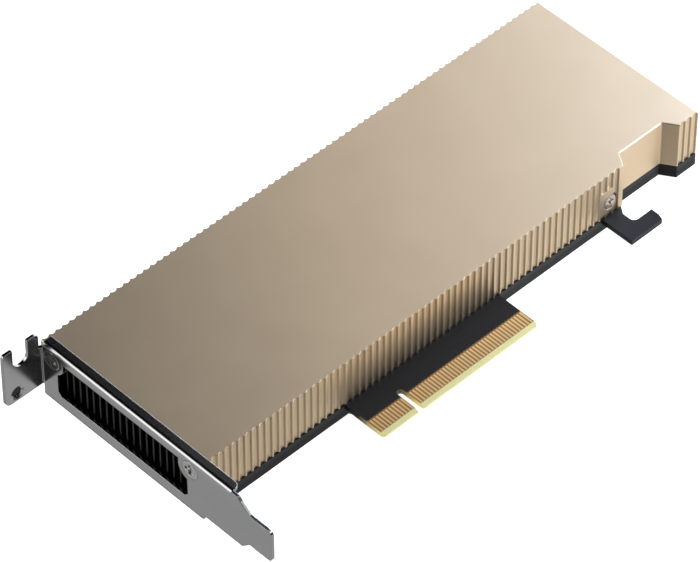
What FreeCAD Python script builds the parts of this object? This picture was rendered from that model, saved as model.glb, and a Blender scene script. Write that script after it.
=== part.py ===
"""Low-profile passive accelerator card, in millimetres.

Frame: the origin lies at the middle of the connector's key slot, on the tip edge of the tab and
on the component face of the circuit board.  +X runs to the far end of the card, +Y from the
connector up to the card's top edge, and +Z out of the component face.
"""
import FreeCAD
import Part
import Sketcher
import math
import operator
import os
import types

# Every driving size: its alias in the sheet, its value and what it measures.
SIZES = [
    # card outline
    ("card_end", "108.4", "far end of the card from the key centre"),
    ("bracket_plane", "58.0", "inner face of the bracket from the key centre"),
    ("side_edge", "13.25", "lower long edge of the card above the tab's tip"),
    ("top_edge", "68.6", "upper long edge of the card above the tab's tip"),
    ("board_thickness", "1.57", "circuit board"),
    ("board_gap", "0.3", "gap between the board and the bracket"),
    # tab of the edge connector
    ("tab_near", "12.15", "near end of the tab from the key centre"),
    ("tab_far", "39.15", "far end of the tab from the key centre"),
    ("tab_corner", "0.5", "chamfer on the corners of the tab"),
    ("tip_bevel_run", "1.3", "bevel at the tip, along the board"),
    ("tip_bevel_rise", "0.475", "bevel at the tip, through the board"),
    ("key_width", "1.9", "key slot"),
    ("key_depth", "8.0", "key slot, from the tip"),
    ("contact_pitch", "1.0", "spacing of the contacts"),
    ("contact_width", "0.7", "one contact"),
    ("contact_first", "1.5", "first contact on each side of the key, from its centre"),
    ("contact_low", "1.35", "lower end of the contacts"),
    ("contact_high", "5.6", "upper end of the contacts"),
    ("contact_plate", "0.05", "thickness of the plating"),
    ("contact_near_count", "11", "contacts between the key and the bracket"),
    ("contact_far_count", "38", "contacts beyond the key"),
    # retention hook of the board
    ("hook_near", "75.2", "near side of the hook from the key centre"),
    ("hook_bottom", "3.3", "lower edge of the hook"),
    ("hook_arm_top", "7.45", "upper edge of the hook's arm"),
    ("hook_tip", "86.4", "tip of the hook's arm"),
    ("hook_tip_low", "5.0", "where the tip starts to slant"),
    ("hook_tip_slant", "0.6", "how far the tip slants back"),
    ("neck_far", "80.25", "far side of the hook's neck"),
    ("neck_top", "11.2", "where the neck starts to slant"),
    ("neck_round", "1.5", "fillet between the neck and the arm"),
    # recess in the lower long side
    ("recess_near", "82.0", "near corner of the recess from the key centre"),
    ("recess_far", "101.6", "far corner of the recess from the key centre"),
    ("recess_depth", "3.7", "depth of the recess"),
    ("recess_slope", "2.42", "run of the slanted ends of the recess"),
    ("recess_round", "0.8", "rounding of the far inner corner of the recess"),
    # shroud
    ("shroud_height", "14.05", "top of the shroud above the board"),
    ("shroud_roof", "1.55", "thickness of the roof"),
    ("shroud_wall", "2.2", "thickness of the long walls"),
    ("recess_wall", "1.6", "thickness of the wall round the recess"),
    ("recess_shift", "0.6", "sideways shift of the recess wall's inner corners"),
    ("shroud_bevel", "0.3", "bevel round the roof"),
    ("flute_pitch", "2.152", "spacing of the flutes"),
    ("flute_radius", "1.1", "radius of a flute"),
    ("flute_outset", "0.6", "centre of a flute outside the long side"),
    ("flute_facets", "4", "flats that make up the round of a flute"),
    ("flute_land", "0.31", "flat left between a corner and the next flute"),
    ("flute_end_land", "1.5", "flat between the last flute and the recess"),
    ("post_length", "8.0", "bracket posts, along the card"),
    ("post_half_width", "2.8", "half the width of a bracket post"),
    ("post_drop", "4.6", "how far a bracket post hangs below the roof"),
    # side screws
    ("side_screw_x", "77.7", "side screws from the key centre"),
    ("side_screw_z", "4.55", "side screws above the board"),
    ("side_pad_near", "3.8", "flat pad beside the screw, towards the bracket"),
    ("side_pad_far", "0.7", "flat pad beside the screw, towards the far end"),
    ("side_pad_low", "1.2", "lower edge of the flat pad"),
    ("side_pad_high", "9.0", "upper edge of the flat pad"),
    ("counterbore_radius", "2.4", "counterbore of a side screw"),
    ("counterbore_depth", "1.1", "depth of the counterbore"),
    ("side_head_radius", "1.9", "head of a side screw"),
    ("side_head_height", "0.95", "head of a side screw"),
    ("side_shank_radius", "1.0", "shank of a side screw"),
    ("side_shank_length", "4.2", "shank of a side screw"),
    ("screw_clearance", "0.05", "gap between a shank and its tapped hole"),
    ("hole_clearance", "0.15", "gap between a shank and a plain hole"),
    # backplate
    ("backplate_depth", "2.35", "backplate below the board"),
    ("backplate_floor", "1.2", "thickness of the backplate's floor"),
    ("backplate_side_rim", "10.9", "solid margin along the backplate's long sides"),
    ("backplate_end_rim", "4.0", "solid margin at the backplate's ends"),
    ("backplate_near_gap", "2.8", "backplate's near end from the bracket's inner face"),
    ("film_thickness", "0.1", "insulation film"),
    ("film_gap", "0.3", "gap round the film"),
    # other screws
    ("cooler_head_radius", "2.35", "head of a cooler screw"),
    ("cooler_head_height", "0.7", "head of a cooler screw"),
    ("cooler_shank_radius", "1.25", "shank of a cooler screw"),
    ("cooler_screw_length", "6.6", "length of a cooler screw"),
    ("bracket_head_radius", "2.65", "head of a bracket screw"),
    ("bracket_shank_radius", "1.5", "shank of a bracket screw"),
    ("bracket_screw_length", "7.0", "length of a bracket screw"),
    ("cross_length", "0.62", "tip of the cross recess as a share of the head radius"),
    ("cross_width", "0.17", "half the width of its arms, as such a share"),
    ("cross_depth", "0.45", "depth of the cross recess"),
    # heat sink
    ("sink_near_gap", "2.0", "fins' near end from the bracket's inner face"),
    ("sink_far_gap", "3.4", "fins' far end from the end of the card"),
    ("sink_base_low", "3.4", "underside of the base above the board"),
    ("sink_base_high", "6.0", "top of the base above the board"),
    ("fin_first", "19.2", "middle of the first fin"),
    ("fin_pitch", "2.3", "spacing of the fins"),
    ("fin_count", "20", "number of fins"),
    ("fin_thickness", "0.5", "one fin"),
    ("fin_roof_gap", "0.3", "gap between the fins and the roof"),
    ("fin_post_gap", "0.5", "gap between the outer fins and the bracket posts"),
    ("lug_half_width", "2.5", "half the width of the side lugs"),
    ("lug_low", "2.6", "underside of the side lugs"),
    ("lug_high", "7.0", "top of the side lugs"),
    ("pillar_half_width", "2.1", "square pillars of the heat sink round the processor"),
    ("pillar_spread_x", "14.0", "pillars from the processor centre, along the card"),
    ("pillar_spread_y", "19.6", "pillars from the processor centre, across the card"),
    # bracket
    ("sheet", "0.86", "bracket sheet"),
    ("bracket_width", "18.42", "bracket across the board"),
    ("bracket_low_end", "10.95", "tip of the tongue below the origin"),
    ("bracket_length", "79.2", "tip of the tongue to the ear's outer face"),
    ("tongue_inset", "4.81", "tongue's lower edge inside the bracket's lower side"),
    ("tongue_width", "10.19", "tongue"),
    ("tongue_round", "1.4", "rounding of the tongue's corners"),
    ("shoulder_y", "3.5", "where the face narrows to the tongue, below the origin"),
    ("shoulder_run", "2.6", "run of the lower shoulder"),
    ("bracket_step_inset", "2.31", "face's edge beside the tab inside the bracket's lower side"),
    ("bracket_step_y", "11.2", "end of that edge"),
    ("bracket_step_run", "1.4", "run of the slant after it"),
    ("face_corner_y", "0.3", "upper corner of the face beside the tongue"),
    ("face_corner_cut", "0.9", "chamfer of that corner"),
    ("flange_end_gap", "1.05", "end of the flanges below the ear's outer face"),
    ("flange_depth", "2.15", "top flange, inwards from the sheet"),
    ("flange_start", "2.5", "near end of the top flange"),
    ("flange_round", "1.6", "rounding of the top flange's near end"),
    ("lower_flange_depth", "2.4", "bottom flange, inwards from the sheet"),
    ("lower_flange_slant", "2.2", "slanted start of the bottom flange"),
    ("bend_inside", "0.3", "inside radius of the flange bends"),
    ("ear_bend_inside", "0.45", "inside radius of the ear's bend"),
    ("ear_reach", "11.9", "ear from the bracket's outer face"),
    ("ear_drop", "0.45", "ear's lower edge below the tongue's"),
    ("ear_height", "17.55", "ear, across the board"),
    ("ear_round", "1.9", "rounding of the ear's lower corner"),
    ("ear_prong_round", "1.2", "rounding of the ear's inner prong"),
    ("ear_tip_round", "0.8", "rounding of the ear's outer prong"),
    ("ear_slot_offset", "6.55", "slot's middle from the bracket's outer face"),
    ("ear_slot_width", "4.7", "slot of the ear"),
    ("ear_slot_depth", "6.5", "slot, from the ear's upper edge to its round bottom"),
    ("ear_notch_width", "0.85", "relief notch beside the bend"),
    ("ear_notch_gap", "0.55", "relief notch below the bend of the top flange"),
    ("dimple_offset", "8.1", "dimple from the bracket's outer face"),
    ("dimple_inset", "2.6", "dimple above the ear's lower edge"),
    ("dimple_radius", "2.15", "rim of the dimple"),
    ("dimple_hole", "1.35", "hole of the dimple"),
    ("vent_start", "17.4", "near end of the vent"),
    ("vent_end", "62.2", "far end of the vent"),
    ("vent_low", "0.7", "lower edge of the vent"),
    ("vent_high", "12.3", "upper edge of the vent"),
    ("vent_corner", "1.2", "chamfer of the vent's lower corners"),
    ("vent_screw_ring", "4.0", "metal left round the bracket screws"),
    ("bracket_screw_low", "16.4", "lower bracket screw above the tab's tip"),
    ("bracket_screw_high", "64.1", "upper bracket screw above the tab's tip"),
    ("bracket_screw_z", "11.0", "bracket screws above the board"),
    # processor
    ("gpu_x", "22.0", "processor centre from the key centre"),
    ("gpu_y", "41.0", "processor centre above the tab's tip"),
    ("substrate_width", "34.0", "processor package"),
    ("substrate_thickness", "1.2", "processor package"),
    ("die_length", "19.0", "die, along the card"),
    ("die_width", "15.5", "die, across the card"),
    ("die_thickness", "0.8", "die"),
    ("stiffener_rim", "3.6", "width of the stiffener ring"),
    ("stiffener_thickness", "0.5", "stiffener ring"),
    ("compound_thickness", "0.1", "thermal compound"),
    ("pedestal_margin", "1.5", "pedestal beyond the die"),
    # memory
    ("memory_offset", "26.5", "memory columns from the processor centre"),
    ("memory_pitch", "14.8", "spacing of the memory packages"),
    ("memory_rows", "3", "memory packages in a column"),
    ("memory_length", "12.0", "memory package, along the card"),
    ("memory_width", "14.0", "memory package, across the card"),
    ("memory_thickness", "1.1", "memory package"),
    ("memory_pad_thickness", "1.0", "thermal pad"),
    ("backing_pad_gap", "0.6", "gap between a rear pad and the pocket's sides"),
    # power supply
    ("power_rows", "5", "phases in a column"),
    ("power_pitch", "8.0", "spacing of the phases"),
    ("inductor_column_near", "66.0", "first column of inductors"),
    ("inductor_column_far", "90.5", "second column of inductors"),
    ("inductor_width", "6.5", "inductor"),
    ("inductor_height", "3.0", "inductor"),
    ("stage_column_near", "73.5", "first column of power stages"),
    ("stage_column_far", "83.0", "second column of power stages"),
    ("stage_length", "5.0", "power stage, along the card"),
    ("stage_width", "6.0", "power stage, across the card"),
    ("stage_height", "0.8", "power stage"),
    ("bulk_column", "98.6", "column of polymer capacitors"),
    ("bulk_length", "4.3", "polymer capacitor, along the card"),
    ("bulk_width", "7.3", "polymer capacitor, across the card"),
    ("bulk_height", "1.9", "polymer capacitor"),
    # small parts
    ("controller_x", "-30.0", "management controller"),
    ("controller_y", "34.0", "management controller"),
    ("controller_width", "9.0", "management controller"),
    ("controller_height", "0.9", "management controller"),
    ("flash_y", "50.0", "firmware memory"),
    ("flash_length", "6.0", "firmware memory, along the card"),
    ("flash_width", "5.0", "firmware memory, across the card"),
    ("flash_height", "1.5", "firmware memory"),
    ("crystal_offset", "9.0", "crystal from the management controller"),
    ("crystal_length", "3.2", "crystal, along the card"),
    ("crystal_width", "2.5", "crystal, across the card"),
    ("crystal_height", "0.8", "crystal"),
    ("voltage_x", "59.0", "voltage controller"),
    ("voltage_width", "5.0", "voltage controller"),
    ("voltage_height", "0.85", "voltage controller"),
    ("coupling_pitch", "2.0", "spacing of the coupling capacitors"),
    ("coupling_rows", "16", "number of coupling capacitors"),
    ("coupling_y", "20.2", "row of coupling capacitors"),
    ("chip_length", "1.0", "small ceramic capacitor"),
    ("chip_width", "0.5", "small ceramic capacitor"),
    ("chip_height", "0.5", "small ceramic capacitor"),
    ("rear_chip_pitch", "3.0", "spacing of the capacitors behind the processor"),
    ("rear_chip_rows", "4", "rows and columns behind the processor"),
]

OVERCUT = 1.0  # how far a cutting tool runs past the faces that it opens
SAME_PLACE = 0.01  # two points closer than this are the same corner

doc = FreeCAD.newDocument("accelerator_card")
sheet = doc.addObject("Spreadsheet::Sheet", "Sizes")


class Size:
    """A length that carries its number together with the sheet formula that gives it."""

    def __init__(self, number, formula):
        self.number = number
        self.formula = formula

    def __float__(self):
        return self.number

    def __add__(self, other):
        return combine(self, "+", other)

    def __radd__(self, other):
        return combine(other, "+", self)

    def __sub__(self, other):
        return combine(self, "-", other)

    def __rsub__(self, other):
        return combine(other, "-", self)

    def __mul__(self, other):
        return combine(self, "*", other)

    __rmul__ = __mul__

    def __truediv__(self, other):
        return combine(self, "/", other)

    def __neg__(self):
        return combine(0.0, "-", self)


ARITHMETIC = {"+": operator.add, "-": operator.sub, "*": operator.mul, "/": operator.truediv}


def as_size(value):
    """A plain number as a Size."""
    if isinstance(value, Size):
        return value
    return Size(float(value), "(%.6f)" % value)


def combine(left, sign, right):
    """The Size that two others make together."""
    left = as_size(left)
    right = as_size(right)
    number = ARITHMETIC[sign](left.number, right.number)
    return Size(number, "(%s %s %s)" % (left.formula, sign, right.formula))


def fill_sheet():
    """Write every size into the sheet and give it back under its alias."""
    for row, (alias, number, meaning) in enumerate(SIZES, start=1):
        sheet.set("A%d" % row, alias)
        sheet.set("B%d" % row, number)
        sheet.set("C%d" % row, meaning)
        sheet.setAlias("B%d" % row, alias)
    doc.recompute()
    read = {alias: Size(float(sheet.get(alias)), "Sizes." + alias) for alias, _, _ in SIZES}
    return types.SimpleNamespace(**read)


s = fill_sheet()


def bind(thing, place, size):
    """Tie a property to a sheet formula."""
    thing.setExpression(place, as_size(size).formula)


# ---------------------------------------------------------------- sketches and solid features

NORMALS = {"XY_Plane": 1, "XZ_Plane": -1, "YZ_Plane": 1}
AXES = {"XY_Plane": (0, 0, 1), "XZ_Plane": (0, 1, 0), "YZ_Plane": (1, 0, 0)}


def origin_feature(body, role):
    """The origin plane or axis of a body that has this role."""
    return next(item for item in body.Origin.OriginFeatures if item.Role == role)


def new_body(name):
    """An empty body that may hold several solids."""
    body = doc.addObject("PartDesign::Body", name)
    body.AllowCompound = True
    return body


def new_sketch(body, role, name, start):
    """A sketch on an origin plane of its body, moved along the plane's axis to start."""
    sketch = body.newObject("Sketcher::SketchObject", name)
    sketch.AttachmentSupport = [(origin_feature(body, role), "")]
    sketch.MapMode = "FlatFace"
    bind(sketch, "AttachmentOffset.Base.z", NORMALS[role] * as_size(start))
    return sketch


def pin(sketch, places):
    """Fix points of a sketch; each place is (geometry, vertex, across, up)."""
    first = sketch.ConstraintCount
    constraints = []
    for geometry, vertex, across, up in places:
        constraints.append(
            Sketcher.Constraint("DistanceX", -1, 1, geometry, vertex, float(across)))
        constraints.append(Sketcher.Constraint("DistanceY", -1, 1, geometry, vertex, float(up)))
    sketch.addConstraint(constraints)
    for count, (_, _, across, up) in enumerate(places):
        bind(sketch, "Constraints[%d]" % (first + 2 * count), across)
        bind(sketch, "Constraints[%d]" % (first + 2 * count + 1), up)


def draw_polygon(sketch, points):
    """A closed outline of straight lines through the points."""
    first = sketch.GeometryCount
    total = len(points)
    corners = [FreeCAD.Vector(float(across), float(up), 0) for across, up in points]
    lines = [Part.LineSegment(corners[i], corners[(i + 1) % total]) for i in range(total)]
    sketch.addGeometry(lines, False)
    joints = [Sketcher.Constraint("Coincident", first + i, 2, first + (i + 1) % total, 1)
              for i in range(total)]
    sketch.addConstraint(joints)
    pin(sketch, [(first + i, 1, across, up) for i, (across, up) in enumerate(points)])


def draw_circles(sketch, centres, radius):
    """Circles of one radius round the centres."""
    for across, up in centres:
        middle = FreeCAD.Vector(float(across), float(up), 0)
        number = sketch.addGeometry(
            Part.Circle(middle, FreeCAD.Vector(0, 0, 1), float(radius)), False)
        index = sketch.addConstraint(Sketcher.Constraint("Radius", number, float(radius)))
        bind(sketch, "Constraints[%d]" % index, radius)
        pin(sketch, [(number, 3, across, up)])


def add_feature(body, kind, name, sketch, length):
    """A Pad or Pocket of a sketch that runs in its axis's positive direction."""
    feature = body.newObject("PartDesign::" + kind, name)
    feature.Profile = sketch
    bind(feature, "Length", length)
    forward = NORMALS[sketch_role(sketch)] > 0
    feature.Reversed = not forward if kind == "Pad" else forward
    feature.Refine = kind == "Pad"
    before = body.Shape.Volume if kind == "Pocket" else 0.0
    doc.recompute()
    if kind == "Pocket" and body.Shape.Volume > before - 1e-6:
        raise RuntimeError(name + " cuts nothing")
    return feature


def sketch_role(sketch):
    """Role of the origin plane that carries a sketch."""
    return sketch.AttachmentSupport[0][0].Role


def pad_outline(body, role, name, start, length, points):
    """Pad a polygon."""
    sketch = new_sketch(body, role, name + "_outline", start)
    draw_polygon(sketch, points)
    return add_feature(body, "Pad", name, sketch, length)


def cut_outline(body, role, name, start, length, points):
    """Pocket a polygon."""
    sketch = new_sketch(body, role, name + "_outline", start)
    draw_polygon(sketch, points)
    return add_feature(body, "Pocket", name, sketch, length)


def pad_circles(body, role, name, start, length, centres, radius):
    """Pad round bosses."""
    sketch = new_sketch(body, role, name + "_circles", start)
    draw_circles(sketch, centres, radius)
    return add_feature(body, "Pad", name, sketch, length)


def cut_circles(body, role, name, start, length, centres, radius):
    """Pocket round holes."""
    sketch = new_sketch(body, role, name + "_circles", start)
    draw_circles(sketch, centres, radius)
    return add_feature(body, "Pocket", name, sketch, length)


def repeat(body, name, feature, axis, pitch, count):
    """Repeat a feature along an axis of the body."""
    pattern = body.newObject("PartDesign::LinearPattern", name)
    pattern.Originals = [feature]
    pattern.Direction = (origin_feature(body, axis), [""])
    bind(pattern, "Length", pitch * (count - 1))
    pattern.Occurrences = count
    body.Tip = pattern
    doc.recompute()
    return pattern


def edges_at(shape, direction, places):
    """Names of the straight edges that run along direction through one of the places."""
    axis = FreeCAD.Vector(*direction)
    names = []
    for number, edge in enumerate(shape.Edges, start=1):
        if len(edge.Vertexes) != 2 or edge.Curve.TypeId != "Part::GeomLine":
            continue
        if edge.Curve.Direction.cross(axis).Length > SAME_PLACE:
            continue
        start = edge.Vertexes[0].Point
        for place in places:
            offset = start - FreeCAD.Vector(*[float(value) for value in place])
            if offset.cross(axis).Length < SAME_PLACE:
                names.append("Edge%d" % number)
                break
    return names


def dress(body, kind, name, role, places, size):
    """Fillet or chamfer the edges that run along a plane's axis through the places."""
    names = edges_at(body.Shape, AXES[role], places)
    if len(names) < len(places):
        raise RuntimeError("%s finds %d of %d edges" % (name, len(names), len(places)))
    base = body.Tip
    feature = body.newObject("PartDesign::" + kind, name)
    feature.Base = (base, names)
    bind(feature, "Radius" if kind == "Fillet" else "Size", size)
    body.Tip = feature
    doc.recompute()
    if "Invalid" in feature.State:
        raise RuntimeError("%s: %s" % (name, feature.getStatusString()))
    return feature


# ---------------------------------------------------------------- primitives and booleans

def block(name, low, high):
    """A box between two corners, each of three Sizes."""
    box = doc.addObject("Part::Box", name)
    for side, axis, start, end in zip(("Length", "Width", "Height"), "xyz", low, high):
        bind(box, side, as_size(end) - start)
        bind(box, "Placement.Base." + axis, start)
    return box


def chip(name, centre_x, centre_y, length, width, floor, height):
    """A box centred on a place of the board."""
    low = (centre_x - length / 2, centre_y - width / 2, floor)
    return block(name, low, (centre_x + length / 2, centre_y + width / 2, floor + height))


TURNS = {"x": FreeCAD.Rotation(FreeCAD.Vector(0, 1, 0), 90),
         "y": FreeCAD.Rotation(FreeCAD.Vector(1, 0, 0), -90),
         "-y": FreeCAD.Rotation(FreeCAD.Vector(1, 0, 0), 90),
         "z": FreeCAD.Rotation()}


def rod(name, start, along, radius, length):
    """A cylinder from start in one axis's direction."""
    cylinder = doc.addObject("Part::Cylinder", name)
    cylinder.Placement = FreeCAD.Placement(FreeCAD.Vector(), TURNS[along])
    for axis, value in zip("xyz", start):
        bind(cylinder, "Placement.Base." + axis, value)
    bind(cylinder, "Radius", radius)
    bind(cylinder, "Height", length)
    return cylinder


def cone(name, start, along, first_radius, last_radius, length):
    """A cone frustum from start in one axis's direction."""
    frustum = doc.addObject("Part::Cone", name)
    frustum.Placement = FreeCAD.Placement(FreeCAD.Vector(), TURNS[along])
    for axis, value in zip("xyz", start):
        bind(frustum, "Placement.Base." + axis, value)
    bind(frustum, "Radius1", first_radius)
    bind(frustum, "Radius2", last_radius)
    bind(frustum, "Height", length)
    return frustum


def group(name, members):
    """Separate solids that share one node."""
    compound = doc.addObject("Part::Compound", name)
    compound.Links = members
    return compound


def cut_away(name, base, tools):
    """The base with every tool taken out of it."""
    result = doc.addObject("Part::Cut", name)
    result.Base = base
    result.Tool = tools[0] if len(tools) == 1 else group(name + "_tools", tools)
    return result


# ---------------------------------------------------------------- levels and shared places

near_x = -s.bracket_plane
outer_x = near_x - s.sheet
board_back = -s.board_thickness
backplate_under = board_back - s.backplate_depth
floor_top = backplate_under + s.backplate_floor
roof_under = s.shroud_height - s.shroud_roof
inner_low = s.side_edge + s.shroud_wall
inner_high = s.top_edge - s.shroud_wall
recess_y = s.side_edge + s.recess_depth
fin_last = s.fin_first + s.fin_pitch * (s.fin_count - 1)
sink_low = s.fin_first - s.fin_thickness / 2
sink_high = fin_last + s.fin_thickness / 2
pillar_centres = [(s.gpu_x + side * s.pillar_spread_x, s.gpu_y + end * s.pillar_spread_y)
                  for side in (-1, 1) for end in (-1, 1)]
bracket_screw_rows = (s.bracket_screw_low, s.bracket_screw_high)
flange_top = s.shroud_height + s.sheet
bracket_bottom = flange_top - s.bracket_width
flange_leg = s.bend_inside + s.sheet
tongue_low = bracket_bottom + s.tongue_inset
ear_low = tongue_low - s.ear_drop
ear_face = s.bracket_length - s.bracket_low_end
ear_back = ear_face - s.sheet
flange_end = ear_face - s.flange_end_gap
lower_flange_start = s.bracket_step_y + s.bracket_step_run
notch_bottom = flange_top - flange_leg - s.ear_notch_gap
power_centre_y = s.gpu_y
power_row_places = [power_centre_y + s.power_pitch * (row - (s.power_rows - 1) / 2)
                    for row in range(int(float(s.power_rows)))]
memory_row_places = [s.gpu_y + s.memory_pitch * (row - (s.memory_rows - 1) / 2)
                     for row in range(int(float(s.memory_rows)))]
memory_columns = (s.gpu_x - s.memory_offset, s.gpu_x + s.memory_offset)
memory_span = s.memory_pitch * (s.memory_rows - 1) + s.memory_width


def card_outline(near_end):
    """Plan of the shroud and the backplate: a rectangle with the recess in its lower side."""
    return [
        (near_end, s.side_edge),
        (s.recess_near, s.side_edge),
        (s.recess_near + s.recess_slope, recess_y),
        (s.recess_far - s.recess_slope, recess_y),
        (s.recess_far, s.side_edge),
        (s.card_end, s.side_edge),
        (s.card_end, s.top_edge),
        (near_end, s.top_edge),
    ]


def inner_outline(near_end, far_end, low, high, recess_inside):
    """Plan of the space inside the walls, which keeps clear of the recess."""
    return [
        (near_end, low),
        (s.recess_near - s.recess_shift, low),
        (s.recess_near + s.recess_slope - s.recess_shift, recess_inside),
        (s.recess_far - s.recess_slope + s.recess_shift, recess_inside),
        (s.recess_far + s.recess_shift, low),
        (far_end, low),
        (far_end, high),
        (near_end, high),
    ]


# ---------------------------------------------------------------- circuit board

def make_circuit_board():
    """Board with the connector's tab, the key slot, the recess and the retention hook."""
    body = new_body("circuit_board")
    near_end = near_x + s.board_gap
    points = [
        (near_end, s.side_edge),
        (-s.tab_near, s.side_edge),
        (-s.tab_near, 0),
        (s.tab_far, 0),
        (s.tab_far, s.side_edge),
        (s.hook_near, s.side_edge),
        (s.hook_near, s.hook_bottom),
        (s.hook_tip - s.hook_tip_slant, s.hook_bottom),
        (s.hook_tip, s.hook_tip_low),
        (s.hook_tip, s.hook_arm_top),
        (s.neck_far, s.hook_arm_top),
        (s.neck_far, s.neck_top),
    ]
    points += card_outline(near_end)[2:]
    pad_outline(body, "XY_Plane", "board_plate", board_back, s.board_thickness, points)
    dress(body, "Fillet", "neck_fillet", "XY_Plane", [(s.neck_far, s.hook_arm_top, 0)],
          s.neck_round)
    tab_corners = [(-s.tab_near, 0, 0), (s.tab_far, 0, 0)]
    dress(body, "Chamfer", "tab_corners", "XY_Plane", tab_corners, s.tab_corner)
    cut_tip_bevels(body)
    cut_key_slot(body)
    cut_circles(body, "XY_Plane", "cooler_screw_holes", board_back, s.board_thickness,
                pillar_centres, s.cooler_shank_radius + s.hole_clearance)
    return body


def cut_tip_bevels(body):
    """Bevel both faces of the tab at its tip, so that it slides into a socket."""
    length = s.tab_near + s.tab_far + 2 * OVERCUT
    for name, face, inwards in (("front_bevel", as_size(0), -1), ("rear_bevel", board_back, 1)):
        outside = face - inwards * OVERCUT
        points = [
            (-OVERCUT, face + inwards * s.tip_bevel_rise),
            (0, face + inwards * s.tip_bevel_rise),
            (s.tip_bevel_run, face),
            (s.tip_bevel_run, outside),
            (-OVERCUT, outside),
        ]
        cut_outline(body, "YZ_Plane", name, -s.tab_near - OVERCUT, length, points)


def cut_key_slot(body):
    """Key slot with a round end."""
    half = s.key_width / 2
    straight = s.key_depth - half
    points = [(-half, -OVERCUT), (half, -OVERCUT), (half, straight), (-half, straight)]
    cut_outline(body, "XY_Plane", "key_slot", board_back, s.board_thickness, points)
    cut_circles(body, "XY_Plane", "key_slot_end", board_back, s.board_thickness,
                [(as_size(0), straight)], half)


def make_contacts(name, floor):
    """Plated contacts on one face of the tab, in a short and a long row."""
    body = new_body(name)
    half = s.contact_width / 2
    for row, first, way, count in (("near_row", -s.contact_first, -1, s.contact_near_count),
                                   ("far_row", s.contact_first, 1, s.contact_far_count)):
        total = int(float(count))
        start = first if way > 0 else first - s.contact_pitch * (total - 1)
        points = [(start - half, s.contact_low), (start + half, s.contact_low),
                  (start + half, s.contact_high), (start - half, s.contact_high)]
        contact = pad_outline(body, "XY_Plane", row, floor, s.contact_plate, points)
        repeat(body, row + "_pattern", contact, "X_Axis", s.contact_pitch, total)
    return body


# ---------------------------------------------------------------- shroud

def make_shroud():
    """Fluted shroud: one metal piece that is open at both ends for the air."""
    body = new_body("heatsink_shroud")
    pad_outline(body, "XY_Plane", "shroud_block", 0, s.shroud_height, card_outline(near_x))
    recess_corner = (s.recess_far - s.recess_slope, recess_y, 0)
    dress(body, "Fillet", "recess_corner", "XY_Plane", [recess_corner], s.recess_round)
    bevel_roof(body)
    tunnel = inner_outline(near_x - OVERCUT, s.card_end + OVERCUT, inner_low, inner_high,
                           recess_y + s.recess_wall)
    cut_outline(body, "XY_Plane", "air_tunnel", 0, roof_under, tunnel)
    add_bracket_posts(body)
    cut_flutes(body)
    add_side_pads(body)
    cut_side_screw_seats(body)
    return body


def bevel_roof(body):
    """Small bevel along the roof's edges at both ends and round the recess."""
    top = max(body.Shape.Faces, key=lambda face: face.CenterOfMass.z)
    names = []
    for number, edge in enumerate(body.Shape.Edges, start=1):
        middle = edge.CenterOfMass
        on_long_side = (abs(middle.y - float(s.side_edge)) < SAME_PLACE
                        or abs(middle.y - float(s.top_edge)) < SAME_PLACE)
        if not on_long_side and any(edge.isSame(other) for other in top.Edges):
            names.append("Edge%d" % number)
    base = body.Tip
    feature = body.newObject("PartDesign::Chamfer", "roof_bevel")
    feature.Base = (base, names)
    bind(feature, "Size", s.shroud_bevel)
    body.Tip = feature
    doc.recompute()


def flute_outline(middle, side, outwards):
    """Plan of one flute: its round, in flats, closed off outside the shroud's long side."""
    radius = float(s.flute_radius)
    half_angle = math.acos(float(s.flute_outset) / radius)
    facets = int(float(s.flute_facets))
    outside = side + outwards * OVERCUT
    half_chord = radius * math.sin(half_angle)
    points = [(middle - half_chord, outside), (middle - half_chord, side)]
    for facet in range(1, facets):
        angle = half_angle * (2 * facet / facets - 1)
        depth = s.flute_radius * math.cos(angle) - s.flute_outset
        points.append((middle + s.flute_radius * math.sin(angle), side - outwards * depth))
    points += [(middle + half_chord, side), (middle + half_chord, outside)]
    return points


def cut_flutes(body):
    """Upright flutes along both long sides, apart from the recess."""
    half_chord = (float(s.flute_radius) ** 2 - float(s.flute_outset) ** 2) ** 0.5
    pitch = float(s.flute_pitch)
    near_run_first = s.recess_near - s.flute_end_land - half_chord
    near_run_length = float(near_run_first) - half_chord - float(near_x)
    near_count = int(near_run_length / pitch) + 1
    near_start = near_run_first - s.flute_pitch * (near_count - 1)
    far_start = s.recess_far + s.flute_land + half_chord
    far_length = float(s.card_end) - float(far_start) - half_chord
    far_count = int(far_length / pitch) + 1
    top_start = near_x + s.flute_land + half_chord + s.board_gap
    top_length = float(s.card_end) - float(top_start) - half_chord
    top_count = int(top_length / pitch) + 1
    for name, start, side, outwards, count in (
            ("near_flutes", near_start, s.side_edge, -1, near_count),
            ("far_flutes", far_start, s.side_edge, -1, far_count),
            ("top_flutes", top_start, s.top_edge, 1, top_count)):
        groove = cut_outline(body, "XY_Plane", name, 0, s.shroud_height,
                             flute_outline(start, side, outwards))
        repeat(body, name + "_pattern", groove, "X_Axis", s.flute_pitch, count)


def add_side_pads(body):
    """Flat pads beside the side screws, where the flutes stop."""
    width = s.flute_radius - s.flute_outset + s.flute_land
    pad_low = s.side_screw_x - s.side_pad_near
    pad_high = s.side_screw_x + s.side_pad_far
    for name, start in (("side_pad_low", s.side_edge), ("side_pad_high", s.top_edge - width)):
        points = [(pad_low, s.side_pad_low), (pad_high, s.side_pad_low),
                  (pad_high, s.side_pad_high), (pad_low, s.side_pad_high)]
        pad_outline(body, "XZ_Plane", name, start, width, points)


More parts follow.
